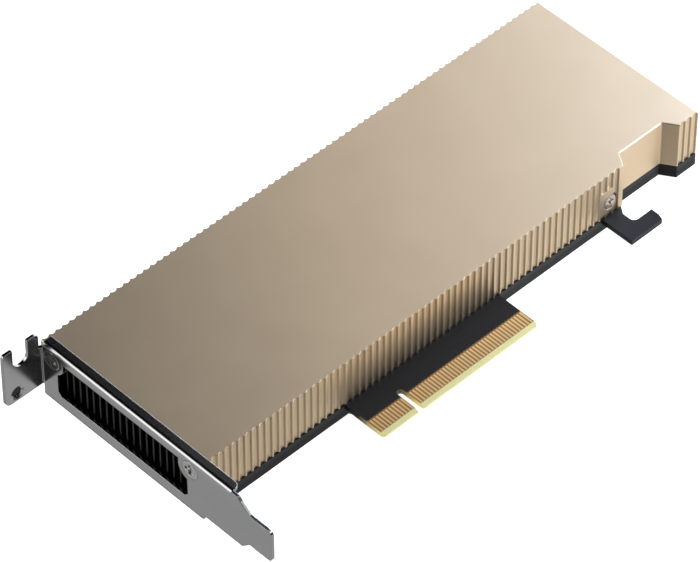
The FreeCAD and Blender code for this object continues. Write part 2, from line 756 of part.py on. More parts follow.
def add_bracket_posts(body):
    """Blocks under the roof that take the bracket's screws."""
    floor = roof_under - s.post_drop
    for name, row, wall in (("post_low", s.bracket_screw_low, s.side_edge + s.shroud_wall / 2),
                            ("post_high", s.bracket_screw_high, s.top_edge - s.shroud_wall / 2)):
        inside = row + s.post_half_width if name == "post_low" else row - s.post_half_width
        points = [(near_x, wall), (near_x + s.post_length, wall),
                  (near_x + s.post_length, inside), (near_x, inside)]
        pad_outline(body, "XY_Plane", name, floor, s.post_drop, points)
    centres = [(row, s.bracket_screw_z) for row in bracket_screw_rows]
    head_part = s.bracket_head_radius - s.sheet + s.hole_clearance
    cut_circles(body, "YZ_Plane", "post_head_room", near_x,
                head_part - s.bracket_shank_radius, centres, head_part)
    cut_circles(body, "YZ_Plane", "post_holes", near_x, s.bracket_screw_length, centres,
                s.bracket_shank_radius + s.screw_clearance)


def cut_side_screw_seats(body):
    """Counterbore and plain hole for each side screw."""
    centre = [(s.side_screw_x, s.side_screw_z)]
    hole = s.side_shank_radius + s.hole_clearance
    for name, seat, wall in (("low", s.side_edge, s.side_edge),
                             ("high", s.top_edge - s.counterbore_depth, inner_high)):
        cut_circles(body, "XZ_Plane", "counterbore_" + name, seat, s.counterbore_depth, centre,
                    s.counterbore_radius)
        cut_circles(body, "XZ_Plane", "side_hole_" + name, wall, s.shroud_wall, centre, hole)


# ---------------------------------------------------------------- heat sink

def make_heatsink():
    """Base plate with a pedestal, memory steps, pillars, side lugs and a row of fins."""
    body = new_body("heatsink")
    near_end = near_x + s.sink_near_gap
    far_end = s.card_end - s.sink_far_gap
    base_height = s.sink_base_high - s.sink_base_low
    points = [(near_end, sink_low), (far_end, sink_low), (far_end, sink_high),
              (near_end, sink_high)]
    pad_outline(body, "XY_Plane", "sink_base", s.sink_base_low, base_height, points)
    add_sink_steps(body)
    for number, (x, y) in enumerate(pillar_centres):
        half = s.pillar_half_width
        corners = [(x - half, y - half), (x + half, y - half), (x + half, y + half),
                   (x - half, y + half)]
        pad_outline(body, "XY_Plane", "pillar_%d" % number, 0, s.sink_base_high, corners)
    add_lugs(body)
    half = s.fin_thickness / 2
    fin_top = roof_under - s.fin_roof_gap
    fin_points = [(s.fin_first - half, s.sink_base_low), (s.fin_first + half, s.sink_base_low),
                  (s.fin_first + half, fin_top), (s.fin_first - half, fin_top)]
    fin = pad_outline(body, "YZ_Plane", "fin", near_end, far_end - near_end, fin_points)
    repeat(body, "fins", fin, "Y_Axis", s.fin_pitch, int(float(s.fin_count)))
    clear_bracket_posts(body, near_end)
    cut_circles(body, "XY_Plane", "pillar_holes", 0, s.cooler_screw_length - s.sink_base_low / 2,
                pillar_centres, s.cooler_shank_radius + s.screw_clearance)
    depth = s.side_shank_length
    cut_circles(body, "XZ_Plane", "lug_hole_low", inner_low, depth,
                [(s.side_screw_x, s.side_screw_z)], s.side_shank_radius + s.screw_clearance)
    cut_circles(body, "XZ_Plane", "lug_hole_high", inner_high - depth, depth,
                [(s.side_screw_x, s.side_screw_z)], s.side_shank_radius + s.screw_clearance)
    return body


def add_sink_steps(body):
    """Raised steps under the base that reach the die and the memory packages."""
    die_top = s.substrate_thickness + s.die_thickness + s.compound_thickness
    half_length = s.die_length / 2 + s.pedestal_margin
    half_width = s.die_width / 2 + s.pedestal_margin
    points = [(s.gpu_x - half_length, s.gpu_y - half_width),
              (s.gpu_x + half_length, s.gpu_y - half_width),
              (s.gpu_x + half_length, s.gpu_y + half_width),
              (s.gpu_x - half_length, s.gpu_y + half_width)]
    pad_outline(body, "XY_Plane", "pedestal", die_top, s.sink_base_low - die_top, points)
    step = s.memory_thickness + s.memory_pad_thickness
    for name, column in zip(("memory_step_near", "memory_step_far"), memory_columns):
        low_x = column - s.memory_length / 2
        high_x = column + s.memory_length / 2
        low_y = s.gpu_y - memory_span / 2
        high_y = s.gpu_y + memory_span / 2
        points = [(low_x, low_y), (high_x, low_y), (high_x, high_y), (low_x, high_y)]
        pad_outline(body, "XY_Plane", name, step, s.sink_base_low - step, points)


def add_lugs(body):
    """Lugs that reach the long walls and hold the side screws."""
    low_x = s.side_screw_x - s.lug_half_width
    high_x = s.side_screw_x + s.lug_half_width
    for name, start, end in (("lug_low", inner_low, sink_low + s.fin_thickness),
                             ("lug_high", sink_high - s.fin_thickness, inner_high)):
        points = [(low_x, start), (high_x, start), (high_x, end), (low_x, end)]
        pad_outline(body, "XY_Plane", name, s.lug_low, s.lug_high - s.lug_low, points)


def clear_bracket_posts(body, near_end):
    """Shorten the outer fins where the bracket posts hang beside them."""
    floor = roof_under - s.post_drop - s.fin_post_gap
    end = near_x + s.post_length + s.fin_post_gap
    low_side = s.bracket_screw_low + s.post_half_width + s.fin_post_gap
    high_side = s.bracket_screw_high - s.post_half_width - s.fin_post_gap
    for name, first, last in (("post_clearance_low", sink_low - OVERCUT, low_side),
                              ("post_clearance_high", high_side, sink_high + OVERCUT)):
        points = [(near_end - OVERCUT, first), (end, first), (end, last),
                  (near_end - OVERCUT, last)]
        cut_outline(body, "XY_Plane", name, floor, s.shroud_height, points)


# ---------------------------------------------------------------- backplate

def backplate_pocket(gap):
    """Corners of the pocket in the backplate, drawn in by a gap."""
    low_x = near_x + s.backplate_near_gap + s.backplate_end_rim + gap
    high_x = s.card_end - s.backplate_end_rim - gap
    low_y = s.side_edge + s.backplate_side_rim + gap
    high_y = s.top_edge - s.backplate_side_rim - gap
    return low_x, high_x, low_y, high_y


def make_backplate():
    """Plate under the board, with a pocket for what stands behind the board."""
    body = new_body("backplate")
    pad_outline(body, "XY_Plane", "backplate_plate", backplate_under, s.backplate_depth,
                card_outline(near_x + s.backplate_near_gap))
    low_x, high_x, low_y, high_y = backplate_pocket(as_size(0))
    points = [(low_x, low_y), (high_x, low_y), (high_x, high_y), (low_x, high_y)]
    cut_outline(body, "XY_Plane", "backplate_relief", floor_top, s.backplate_depth, points)
    cut_circles(body, "XY_Plane", "screw_seats", backplate_under, s.cooler_head_height,
                pillar_centres, s.cooler_head_radius + s.hole_clearance)
    cut_circles(body, "XY_Plane", "screw_ways", backplate_under, s.backplate_depth,
                pillar_centres, s.cooler_shank_radius + s.hole_clearance)
    return body


def make_insulation_film():
    """Thin film on the floor of the backplate's pocket."""
    low_x, high_x, low_y, high_y = backplate_pocket(s.film_gap)
    return block("insulation_film", (low_x, low_y, floor_top),
                 (high_x, high_y, floor_top + s.film_thickness))


# ---------------------------------------------------------------- bracket

def make_bracket():
    """Folded sheet bracket with two flanges, the tongue, the slotted ear and the vent."""
    pieces = [make_face(), make_top_flange(), make_lower_flange(), make_ear(), make_ear_bend()]
    folded = doc.addObject("Part::MultiFuse", "bracket_sheet")
    folded.Shapes = pieces
    folded.Refine = True
    return pierce_bracket(folded)


def make_face():
    """Flat of the bracket: the tongue, the shoulders and the long face between the bends."""
    body = new_body("bracket_face")
    tongue_high = tongue_low + s.tongue_width
    bend_start = ear_face - s.ear_bend_inside - s.sheet
    points = [
        (-s.bracket_low_end, tongue_low),
        (-s.shoulder_y, tongue_low),
        (s.shoulder_run - s.shoulder_y, bracket_bottom + s.bracket_step_inset),
        (s.bracket_step_y, bracket_bottom + s.bracket_step_inset),
        (lower_flange_start, bracket_bottom + flange_leg),
        (flange_end, bracket_bottom + flange_leg),
        (flange_end, ear_low),
        (bend_start, ear_low),
        (bend_start, notch_bottom),
        (flange_end, notch_bottom),
        (flange_end, flange_top - flange_leg),
        (s.flange_start, flange_top - flange_leg),
        (s.flange_start, flange_top),
        (s.face_corner_y, flange_top),
        (s.face_corner_y - s.face_corner_cut, flange_top - s.face_corner_cut),
        (-s.shoulder_y, tongue_high),
        (-s.bracket_low_end, tongue_high),
    ]
    pad_outline(body, "YZ_Plane", "face_plate", outer_x, s.sheet, points)
    tongue_corners = [(0, -s.bracket_low_end, tongue_low), (0, -s.bracket_low_end, tongue_high)]
    dress(body, "Fillet", "tongue_corners", "YZ_Plane", tongue_corners, s.tongue_round)
    return body


def fold(name, role, start, length, corner, leg_a, leg_b, inside):
    """A folded angle: corner is its outer corner, and the legs run from there."""
    body = new_body(name)
    way_a = 1 if float(leg_a) > 0 else -1
    way_b = 1 if float(leg_b) > 0 else -1
    across, up = corner
    inner = (across + way_a * s.sheet, up + way_b * s.sheet)
    points = [corner, (across + leg_a, up), (across + leg_a, inner[1]), inner,
              (inner[0], up + leg_b), (across, up + leg_b)]
    pad_outline(body, role, name + "_section", start, length, points)
    space = (lambda a, b: (a, 0, b)) if role == "XZ_Plane" else (lambda a, b: (a, b, 0))
    dress(body, "Fillet", name + "_bend_inside", role, [space(*inner)], inside)
    dress(body, "Fillet", name + "_bend_outside", role, [space(*corner)], inside + s.sheet)
    return body


def make_top_flange():
    """Flange that lies on the roof of the shroud."""
    body = fold("top_flange", "XZ_Plane", s.flange_start, flange_end - s.flange_start,
                (outer_x, flange_top), s.sheet + s.flange_depth, -flange_leg - s.sheet,
                s.bend_inside)
    dress(body, "Fillet", "top_flange_end", "XY_Plane",
          [(near_x + s.flange_depth, s.flange_start, 0)], s.flange_round)
    return body


def make_lower_flange():
    """Flange below the board, with a slanted start."""
    body = fold("lower_flange", "XZ_Plane", lower_flange_start, flange_end - lower_flange_start,
                (outer_x, bracket_bottom), s.sheet + s.lower_flange_depth,
                flange_leg + s.sheet, s.bend_inside)
    dress(body, "Chamfer", "lower_flange_slant", "XY_Plane",
          [(near_x + s.lower_flange_depth, lower_flange_start, 0)], s.lower_flange_slant)
    return body


def make_ear():
    """Ear plate with its open slot."""
    body = new_body("ear")
    tip = outer_x - s.ear_reach
    prong_side = outer_x - s.ear_notch_width
    root = outer_x - s.ear_bend_inside
    ear_high = ear_low + s.ear_height
    points = [(root, ear_low), (tip, ear_low), (tip, ear_high), (prong_side, ear_high),
              (prong_side, notch_bottom), (root, notch_bottom)]
    pad_outline(body, "XZ_Plane", "ear_plate", ear_back, s.sheet, points)
    dress(body, "Fillet", "ear_corner", "XZ_Plane", [(tip, 0, ear_low)], s.ear_round)
    dress(body, "Fillet", "tip_corner", "XZ_Plane", [(tip, 0, ear_high)], s.ear_tip_round)
    dress(body, "Fillet", "prong_corner", "XZ_Plane", [(prong_side, 0, ear_high)],
          s.ear_prong_round)
    middle = outer_x - s.ear_slot_offset
    half = s.ear_slot_width / 2
    centre_z = ear_high - s.ear_slot_depth + half
    slot = [(middle - half, centre_z), (middle + half, centre_z),
            (middle + half, ear_high + OVERCUT), (middle - half, ear_high + OVERCUT)]
    cut_outline(body, "XZ_Plane", "ear_slot", ear_back, s.sheet, slot)
    cut_circles(body, "XZ_Plane", "ear_slot_end", ear_back, s.sheet, [(middle, centre_z)], half)
    return body


def make_ear_bend():
    """Bend between the face and the ear."""
    leg = s.ear_bend_inside + 2 * s.sheet
    return fold("ear_bend", "XY_Plane", ear_low, notch_bottom - ear_low,
                (near_x, ear_face), -leg, -leg, s.ear_bend_inside)


def countersinks(name, places, along, head_radius, shank_radius, length):
    """Cutting tools for countersunk screws: a cone and a plain hole at each place."""
    tools = []
    wide = head_radius + s.screw_clearance
    narrow = shank_radius + s.hole_clearance
    for number, start in enumerate(places):
        tools.append(cone("%s_cone_%d" % (name, number), start, along, wide, narrow,
                          wide - narrow))
        tools.append(rod("%s_hole_%d" % (name, number), start, along, narrow, length))
    return tools


def pierce_bracket(body):
    """Cut the vent, the dimple of the ear and the countersinks of the face."""
    vent_start = outer_x - OVERCUT
    vent = block("vent_block", (vent_start, s.vent_start, s.vent_low),
                 (near_x + OVERCUT, s.vent_end, s.vent_high))
    doc.recompute()
    corners = [(0, s.vent_start, s.vent_low), (0, s.vent_end, s.vent_low)]
    edges = edges_at(vent.Shape, AXES["YZ_Plane"], corners)
    chamfer = doc.addObject("Part::Chamfer", "vent_corners")
    chamfer.Base = vent
    size = float(s.vent_corner)
    chamfer.Edges = [(int(name.replace("Edge", "")), size, size) for name in edges]
    rings = [rod("screw_ring_%d" % number, (vent_start, row, s.bracket_screw_z), "x",
                 s.vent_screw_ring, s.sheet + 2 * OVERCUT)
             for number, row in enumerate(bracket_screw_rows)]
    vent_tool = cut_away("vent_tool", chamfer, rings)
    dimple_start = (outer_x - s.dimple_offset, ear_back, ear_low + s.dimple_inset)
    dimple = cone("dimple_cone", dimple_start, "y", s.dimple_radius, s.dimple_hole, s.sheet / 2)
    dimple_hole = rod("dimple_hole_tool", dimple_start, "y", s.dimple_hole, s.sheet)
    screw_places = [(outer_x, row, s.bracket_screw_z) for row in bracket_screw_rows]
    tools = [vent_tool, dimple, dimple_hole]
    tools += countersinks("face", screw_places, "x", s.bracket_head_radius,
                          s.bracket_shank_radius, s.sheet + OVERCUT)
    return cut_away("bracket", body, tools)


# ---------------------------------------------------------------- screws

def add_cross(body, head_radius):
    """Cross recess in the flat of a screw's head."""
    tip = s.cross_length * head_radius
    arm = s.cross_width * head_radius
    points = [(tip, -arm), (tip, arm), (arm, arm), (arm, tip), (-arm, tip), (-arm, arm),
              (-tip, arm), (-tip, -arm), (-arm, -arm), (-arm, -tip), (arm, -tip), (arm, -arm)]
    cut_outline(body, "XY_Plane", body.Name + "_cross", 0, s.cross_depth, points)


def countersunk_screw(name, head_radius, shank_radius, length):
    """A countersunk screw along +Z with the flat of its head at the origin."""
    body = new_body(name)
    sketch = new_sketch(body, "XZ_Plane", name + "_profile", 0)
    profile = [(0, 0), (head_radius, 0), (shank_radius, head_radius - shank_radius),
               (shank_radius, length), (0, length)]
    draw_polygon(sketch, profile)
    turned = body.newObject("PartDesign::Revolution", name + "_turned")
    turned.Profile = sketch
    turned.ReferenceAxis = (sketch, ["V_Axis"])
    turned.Angle = 360.0
    doc.recompute()
    add_cross(body, head_radius)
    return body


def flat_screw(name, head_radius, head_height, shank_radius, length):
    """A flat-headed screw along +Z with the top of its head at the origin."""
    body = new_body(name)
    middle = [(as_size(0), as_size(0))]
    pad_circles(body, "XY_Plane", name + "_head", 0, head_height, middle, head_radius)
    pad_circles(body, "XY_Plane", name + "_shank", 0, length, middle, shank_radius)
    add_cross(body, head_radius)
    return body


def copies(name, master, places):
    """The same screw at several places; each place is (x, y, z, direction)."""
    doc.recompute()
    solids = []
    for x, y, z, along in places:
        spot = FreeCAD.Vector(float(x), float(y), float(z))
        solid = master.Shape.copy()
        solid.Placement = FreeCAD.Placement(spot, TURNS[along])
        solids.append(solid)
    feature = doc.addObject("Part::Feature", name)
    feature.Shape = Part.makeCompound(solids)
    feature.Placement = FreeCAD.Placement()
    return feature


def make_screws():
    """Every screw of the card, grouped by kind."""
    cooler = flat_screw("cooler_screw", s.cooler_head_radius, s.cooler_head_height,
                        s.cooler_shank_radius, s.cooler_screw_length)
    bracket = countersunk_screw("bracket_screw", s.bracket_head_radius, s.bracket_shank_radius,
                                s.bracket_screw_length)
    side = flat_screw("side_screw", s.side_head_radius, s.side_head_height,
                      s.side_shank_radius, s.side_head_height + s.side_shank_length)
    head_seat = s.counterbore_depth - s.side_head_height
    side_places = [(s.side_screw_x, s.side_edge + head_seat, s.side_screw_z, "y"),
                   (s.side_screw_x, s.top_edge - head_seat, s.side_screw_z, "-y")]
    return [
        copies("cooler_screws", cooler,
               [(x, y, backplate_under, "z") for x, y in pillar_centres]),
        copies("bracket_screws", bracket,
               [(outer_x, row, s.bracket_screw_z, "x") for row in bracket_screw_rows]),
        copies("side_screws", side, side_places),
    ]


# ---------------------------------------------------------------- parts on the board

def make_processor():
    """Processor package, its stiffener ring, the bare die and the compound on it."""
    ring_floor = s.substrate_thickness
    inside = s.substrate_width - 2 * s.stiffener_rim
    plate = chip("stiffener_plate", s.gpu_x, s.gpu_y, s.substrate_width, s.substrate_width,
                 ring_floor, s.stiffener_thickness)
    opening = chip("stiffener_opening", s.gpu_x, s.gpu_y, inside, inside, ring_floor,
                   s.stiffener_thickness)
    die_top = ring_floor + s.die_thickness
    return [
        chip("gpu_substrate", s.gpu_x, s.gpu_y, s.substrate_width, s.substrate_width,
             as_size(0), s.substrate_thickness),
        cut_away("gpu_stiffener", plate, [opening]),
        chip("gpu_die", s.gpu_x, s.gpu_y, s.die_length, s.die_width, ring_floor,
             s.die_thickness),
        chip("thermal_compound", s.gpu_x, s.gpu_y, s.die_length, s.die_width, die_top,
             s.compound_thickness),
    ]


def chips(name, places, length, width, floor, height):
    """Equal boxes at several places of the board, in one node."""
    members = [chip("%s_%d" % (name, number), x, y, length, width, floor, height)
               for number, (x, y) in enumerate(places)]
    return group(name, members)


def make_memory():
    """Memory packages beside the processor, their pads and the pads behind the board."""
    places = [(x, y) for x in memory_columns for y in memory_row_places]
    pad_floor = floor_top + s.film_thickness
    _, _, pocket_low, pocket_high = backplate_pocket(s.backing_pad_gap)
    return [
        chips("memory_packages", places, s.memory_length, s.memory_width, as_size(0),
              s.memory_thickness),
        chips("memory_pads", places, s.memory_length, s.memory_width, s.memory_thickness,
              s.memory_pad_thickness),
        chips("backplate_pads", [(x, (pocket_low + pocket_high) / 2) for x in memory_columns],
              s.memory_length, pocket_high - pocket_low, pad_floor, board_back - pad_floor),
    ]


def make_power_supply():
    """Inductors with their pads, power stages, polymer capacitors and the controller."""
    coils = [(x, y) for x in (s.inductor_column_near, s.inductor_column_far)
             for y in power_row_places]
    stages = [(x, y) for x in (s.stage_column_near, s.stage_column_far)
              for y in power_row_places]
    bulk = [(s.bulk_column, y) for y in power_row_places]
    return [
        chips("power_inductors", coils, s.inductor_width, s.inductor_width, as_size(0),
              s.inductor_height),
        chips("inductor_pads", coils, s.inductor_width, s.inductor_width, s.inductor_height,
              s.sink_base_low - s.inductor_height),
        chips("power_stages", stages, s.stage_length, s.stage_width, as_size(0),
              s.stage_height),
        chips("polymer_capacitors", bulk, s.bulk_length, s.bulk_width, as_size(0),
              s.bulk_height),
        chip("voltage_controller", s.voltage_x, power_centre_y, s.voltage_width,
             s.voltage_width, as_size(0), s.voltage_height),
    ]


def make_small_parts():
    """Management controller, firmware memory, crystal and ceramic capacitors."""
    coupling_first = s.gpu_x - s.coupling_pitch * (s.coupling_rows - 1) / 2
    coupling = [(coupling_first + s.coupling_pitch * number, s.coupling_y)
                for number in range(int(float(s.coupling_rows)))]
    coupling = [(x, y) for x, y in coupling
                if all(abs(float(x) - float(pillar_x)) > float(s.pillar_half_width + s.chip_length)
                       for pillar_x, _ in pillar_centres)]
    total = int(float(s.rear_chip_rows))
    middle = (s.rear_chip_rows - 1) / 2
    rear = [(s.gpu_x + s.rear_chip_pitch * (column - middle),
             s.gpu_y + s.rear_chip_pitch * (row - middle))
            for column in range(total) for row in range(total)]
    return [
        chip("management_controller", s.controller_x, s.controller_y, s.controller_width,
             s.controller_width, as_size(0), s.controller_height),
        chip("firmware_flash", s.controller_x, s.flash_y, s.flash_length, s.flash_width,
             as_size(0), s.flash_height),
        chip("clock_crystal", s.controller_x + s.crystal_offset, s.controller_y,
             s.crystal_length, s.crystal_width, as_size(0), s.crystal_height),
        chips("coupling_capacitors", coupling, s.chip_width, s.chip_length, as_size(0),
              s.chip_height),
        chips("rear_capacitors", rear, s.chip_length, s.chip_width,
              board_back - s.chip_height, s.chip_height),
    ]


# ---------------------------------------------------------------- build, check and write

def make_all():
    """Every node of the card."""
    nodes = [
        make_circuit_board(),
        make_contacts("contacts_front", as_size(0)),
        make_contacts("contacts_rear", board_back - s.contact_plate),
        make_shroud(),
        make_heatsink(),
        make_backplate(),
        make_insulation_film(),
        make_bracket(),
    ]
    nodes += make_screws()
    nodes += make_processor()
    nodes += make_memory()
    nodes += make_power_supply()
    nodes += make_small_parts()
    return nodes


def check_document():
    """Raise if any object of the document failed."""
    for item in doc.Objects:
        if "Invalid" in item.State or "Error" in item.State:
            raise RuntimeError("%s is in state %s" % (item.Name, item.State))


def write_parts(nodes):
    """Check every node's shape and write it under its own label."""
    os.makedirs("parts", exist_ok=True)
    for node in nodes:
        node.Label = node.Name
        shape = node.Shape
        if shape.isNull() or not shape.isValid() or not shape.Solids:
            raise RuntimeError(node.Label + " has no valid solid")
    for node in nodes:
        node.Shape.exportStep("parts/%s.step" % node.Label)
        print("%-24s solids %3d volume %10.2f" % (node.Label, len(node.Shape.Solids),
                                                 node.Shape.Volume))


all_nodes = make_all()
doc.recompute()
check_document()
write_parts(all_nodes)
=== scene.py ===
import math
from collections import namedtuple

import bpy
from bpy.props import (
    FloatProperty,
    FloatVectorProperty,
    IntProperty,
    PointerProperty,
)
from mathutils import Matrix, Vector


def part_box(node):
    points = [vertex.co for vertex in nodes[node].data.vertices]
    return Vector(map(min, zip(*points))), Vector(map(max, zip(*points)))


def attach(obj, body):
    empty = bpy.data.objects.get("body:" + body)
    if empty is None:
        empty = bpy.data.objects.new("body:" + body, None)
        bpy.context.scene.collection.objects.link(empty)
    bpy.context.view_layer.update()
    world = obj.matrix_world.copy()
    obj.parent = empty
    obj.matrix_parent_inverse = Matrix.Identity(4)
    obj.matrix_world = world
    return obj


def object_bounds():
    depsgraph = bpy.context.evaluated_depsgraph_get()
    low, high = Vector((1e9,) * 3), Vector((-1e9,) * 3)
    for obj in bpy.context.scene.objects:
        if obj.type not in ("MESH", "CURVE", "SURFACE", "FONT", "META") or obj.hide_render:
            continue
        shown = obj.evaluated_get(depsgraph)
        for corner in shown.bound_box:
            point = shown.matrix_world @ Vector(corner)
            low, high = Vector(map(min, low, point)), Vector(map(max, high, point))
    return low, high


bl_info = {
    "name": "Passive accelerator card",
    "version": (1, 0, 0),
    "blender": (4, 5, 0),
    "location": "View3D > Sidebar > Card",
    "description": "Finishes, small pieces and studio of a passively cooled expansion card",
    "category": "Object",
}

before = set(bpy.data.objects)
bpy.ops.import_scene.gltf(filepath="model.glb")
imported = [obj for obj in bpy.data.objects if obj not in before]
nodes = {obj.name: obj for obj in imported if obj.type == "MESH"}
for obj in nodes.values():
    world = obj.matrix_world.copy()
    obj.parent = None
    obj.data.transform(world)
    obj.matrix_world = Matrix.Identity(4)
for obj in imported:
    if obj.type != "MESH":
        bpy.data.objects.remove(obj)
cad_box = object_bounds()

MM = 0.001
WHITE = (1.0, 1.0, 1.0)
EVEN = (1.0, 1.0, 1.0)
ZERO = (0.0, 0.0, 0.0)

# The board: its middle layer, where its lacquer starts, and the tab of the connector.
BOARD_MIDDLE = -0.785 * MM
LACQUER_START = 0.755 * MM
LACQUER_END = 0.77 * MM
TAB_SIDE = 40.0 * MM
TAB_ROOT_START = 2.0 * MM
TAB_ROOT_END = 9.0 * MM
MASK_EDGE = 6.0 * MM
SHARP = 0.05 * MM

# Contacts on each side of the key: the first one's distance from it, and how many.
CONTACT_FIRST = 1.5 * MM
NEAR_CONTACTS = 11
FAR_CONTACTS = 38
CONTACT_TOP = 5.6 * MM

# Painted shade at a contact's sides: where it starts and where it is full, in pitches from the
# contact's middle, and how dark it gets; and how dark the weave gets.
PAINTED_SHADE_START = 0.16
PAINTED_SHADE_FULL = 0.36
PAINTED_RIM_SHADE = 0.62
WEAVE_SHADE = 0.85

# Fins of the heat sink, across the card.
FIN_FIRST = 19.2 * MM
FIN_PITCH = 2.3 * MM
FIN_COUNT = 20
FIN_THICKNESS = 0.5 * MM

# Closed end of the dimple in the bracket's ear, which faces along the card's Y.
DIMPLE_MIDDLE = Vector((-66.96, 68.08, 3.45)) * MM
DIMPLE_TURN = (math.radians(90.0), 0.0, 0.0)
DIMPLE_SIDES = 48

# Small ceramic capacitors.
CHIP_LENGTH = 1.0 * MM
CHIP_WIDTH = 0.5 * MM

# Colour sockets of the Mix node, whose names they share with its other kinds.
MIX_FIRST = 6
MIX_SECOND = 7
MIX_RESULT = 2

# Rays by which an edge's rounding is worked out.
BEVEL_SAMPLES = 6

# A patch of the studio: the way to it from the card, the cosines of the angles at which it
# starts and is full, and the level outside it and inside it.
Patch = namedtuple("Patch", "direction start full outside inside")

# The studio's level changes from the ground's to the sky's across the horizon.
UPWARDS = (0.0, 0.0, 1.0)
HORIZON_START = -0.25
HORIZON_FULL = 0.15

# Patches that the bracket, the tab and the metal edges mirror.
DARK_CORNER = Patch((-0.48, -0.50, -0.72), start=0.91, full=0.985, outside=1.0, inside=0.03)
DARK_FOOT = Patch((-0.05, 0.49, -0.87), start=0.91, full=0.975, outside=1.0, inside=0.15)
LEFT_GLOW = Patch((-0.76, 0.50, 0.42), start=0.89, full=0.97, outside=0.0, inside=2.6)
FAR_GLOW = Patch((0.85, 0.49, 0.17), start=0.88, full=0.96, outside=0.0, inside=1.6)

# Floor and camera.
FLOOR_GAP = 0.2 * MM
SENSOR_WIDTH = 36.0
FARTHEST = 100.0


# ---------------------------------------------------------------- settings


def colour(name, description, default):
    """A colour that can be changed in the panel."""
    return FloatVectorProperty(
        name=name,
        description=description,
        default=default,
        subtype="COLOR",
        min=0.0,
        max=1.0,
        size=3,
    )


def length(name, description, millimetres):
    """A length, kept in metres."""
    return FloatProperty(
        name=name,
        description=description,
        default=millimetres * MM,
        unit="LENGTH",
        min=0.0,
    )


def share(name, description, default):
    """A factor from 0 to 1."""
    return FloatProperty(
        name=name,
        description=description,
        default=default,
        subtype="FACTOR",
        min=0.0,
        max=1.0,
    )


def power(name, description, watts):
    """The power of a light."""
    return FloatProperty(
        name=name,
        description=description,
        default=watts,
        unit="POWER",
        min=0.0,
    )


class CardFinishes(bpy.types.PropertyGroup):
    """Colours and gloss of the card's surfaces."""

    shroud: colour("Shroud", "Anodised metal of the shroud", (0.71, 0.54, 0.345))
    shroud_rough: share("Shroud roughness", "How matt the anodised metal is", 0.39)
    sink: colour("Heat sink", "Blackened metal of the fins", (0.018, 0.018, 0.018))
    fin_tip: colour("Fin tips", "Cut edges of the fins behind the vent", (0.055, 0.055, 0.055))
    mask: colour("Board", "Matt black lacquer on the board", (0.007, 0.007, 0.007))
    laminate: colour("Laminate", "Bare glass laminate at the cut edges", (0.88, 0.75, 0.29))
    bare_face: colour("Bare face", "Laminate between the contacts", (0.34, 0.165, 0.045))
    plating: colour("Contacts", "Hard gold of the contacts", (1.0, 0.70, 0.34))
    backplate: colour("Backplate", "Black powder coat", (0.008, 0.008, 0.008))
    bracket: colour("Bracket", "Plated steel of the bracket", (0.48, 0.48, 0.48))
    bracket_rough: share("Bracket roughness", "How matt the plated steel is", 0.20)
    bright_screw: colour("Bright screws", "Nickel plated screws", (0.62, 0.62, 0.60))
    shroud_screw: colour("Shroud screws", "Screws in the shroud's colour", (0.62, 0.53, 0.42))
    dark_screw: colour("Dark screws", "Blackened screws", (0.045, 0.045, 0.045))


class CardDetails(bpy.types.PropertyGroup):
    """Sizes of the small pieces that are added to the card."""

    trace_width: length("Trace width", "One copper trace under the lacquer", 0.22)
    trace_rise: length("Trace rise", "How far a trace lifts the lacquer", 0.015)
    trace_stub: length("Trace stub", "Straight start of a trace above its contact", 1.6)
    trace_run: length("Trace run", "Slanted part of a trace", 4.6)
    trace_lean: FloatProperty(
        name="Trace lean",
        description="Lean of the slanted part of a trace",
        default=math.radians(28.0),
        subtype="ANGLE",
    )
    contact_pitch: length("Contact pitch", "Spacing of the contacts", 1.0)
    fin_tip_reach: length("Fin tips", "How far the fins' ends stand forward", 1.2)
    fin_tip_gap: length("Fin tip gap", "Gap between those ends and the board", 0.5)
    dimple_radius: length("Dimple floor", "Radius of the dimple's closed end", 1.34)
    dimple_thickness: length("Dimple thickness", "Thickness of that end", 0.25)
    terminal_length: length("Terminal", "Tin cap on the end of a small capacitor", 0.25)
    terminal_skin: length("Terminal skin", "Thickness of that cap", 0.02)
    rear_rows: IntProperty(
        name="Rear capacitors",
        description="Rows and columns of capacitors behind the processor",
        default=4,
        min=1,
    )
    coupling_rows: IntProperty(
        name="Coupling capacitors",
        description="Small capacitors in the row above the edge connector",
        default=10,
        min=1,
    )


class CardStudio(bpy.types.PropertyGroup):
    """Camera, floor and lights."""

    azimuth: FloatProperty(
        name="Azimuth",
        description="Turn of the camera round the card",
        default=math.radians(-44.06285),
        subtype="ANGLE",
    )
    elevation: FloatProperty(
        name="Elevation",
        description="Height of the camera above the horizon",
        default=math.radians(46.47023),
        subtype="ANGLE",
    )
    roll: FloatProperty(
        name="Roll",
        description="Turn of the camera about its own axis",
        default=math.radians(-0.05765),
        subtype="ANGLE",
    )
    place: FloatVectorProperty(
        name="Camera",
        description="Where the camera stands",
        default=(-0.556804, -0.551139, 0.867995),
        subtype="TRANSLATION",
        unit="LENGTH",
        size=3,
    )
    lens: FloatProperty(
        name="Lens",
        description="Focal length in millimetres on a 36 mm sensor",
        default=255.376,
        min=1.0,
    )
    floor_size: length("Floor", "Half the width of the floor", 6000.0)
    floor_glow: FloatProperty(
        name="Floor glow",
        description="Light that the pale floor gives by itself",
        default=1.0,
        min=0.0,
    )
    top_light: power("Top light", "Warm soft box above the card", 0.82)
    far_light: power("Far light", "Cool soft box beyond the far end", 15.0)
    front_light: power("Front light", "Soft box in front of the contacts", 0.7)
    side_light: power("Side light", "Soft box under the far end", 1.15)
    sky: FloatProperty(
        name="Sky",
        description="Brightness of the studio above the card",
        default=0.0,
        min=0.0,
    )
    ground: FloatProperty(
        name="Ground",
        description="Brightness of the studio that the sides mirror",
        default=0.70,
        min=0.0,
    )


# --------------------------------------------------------------- materials


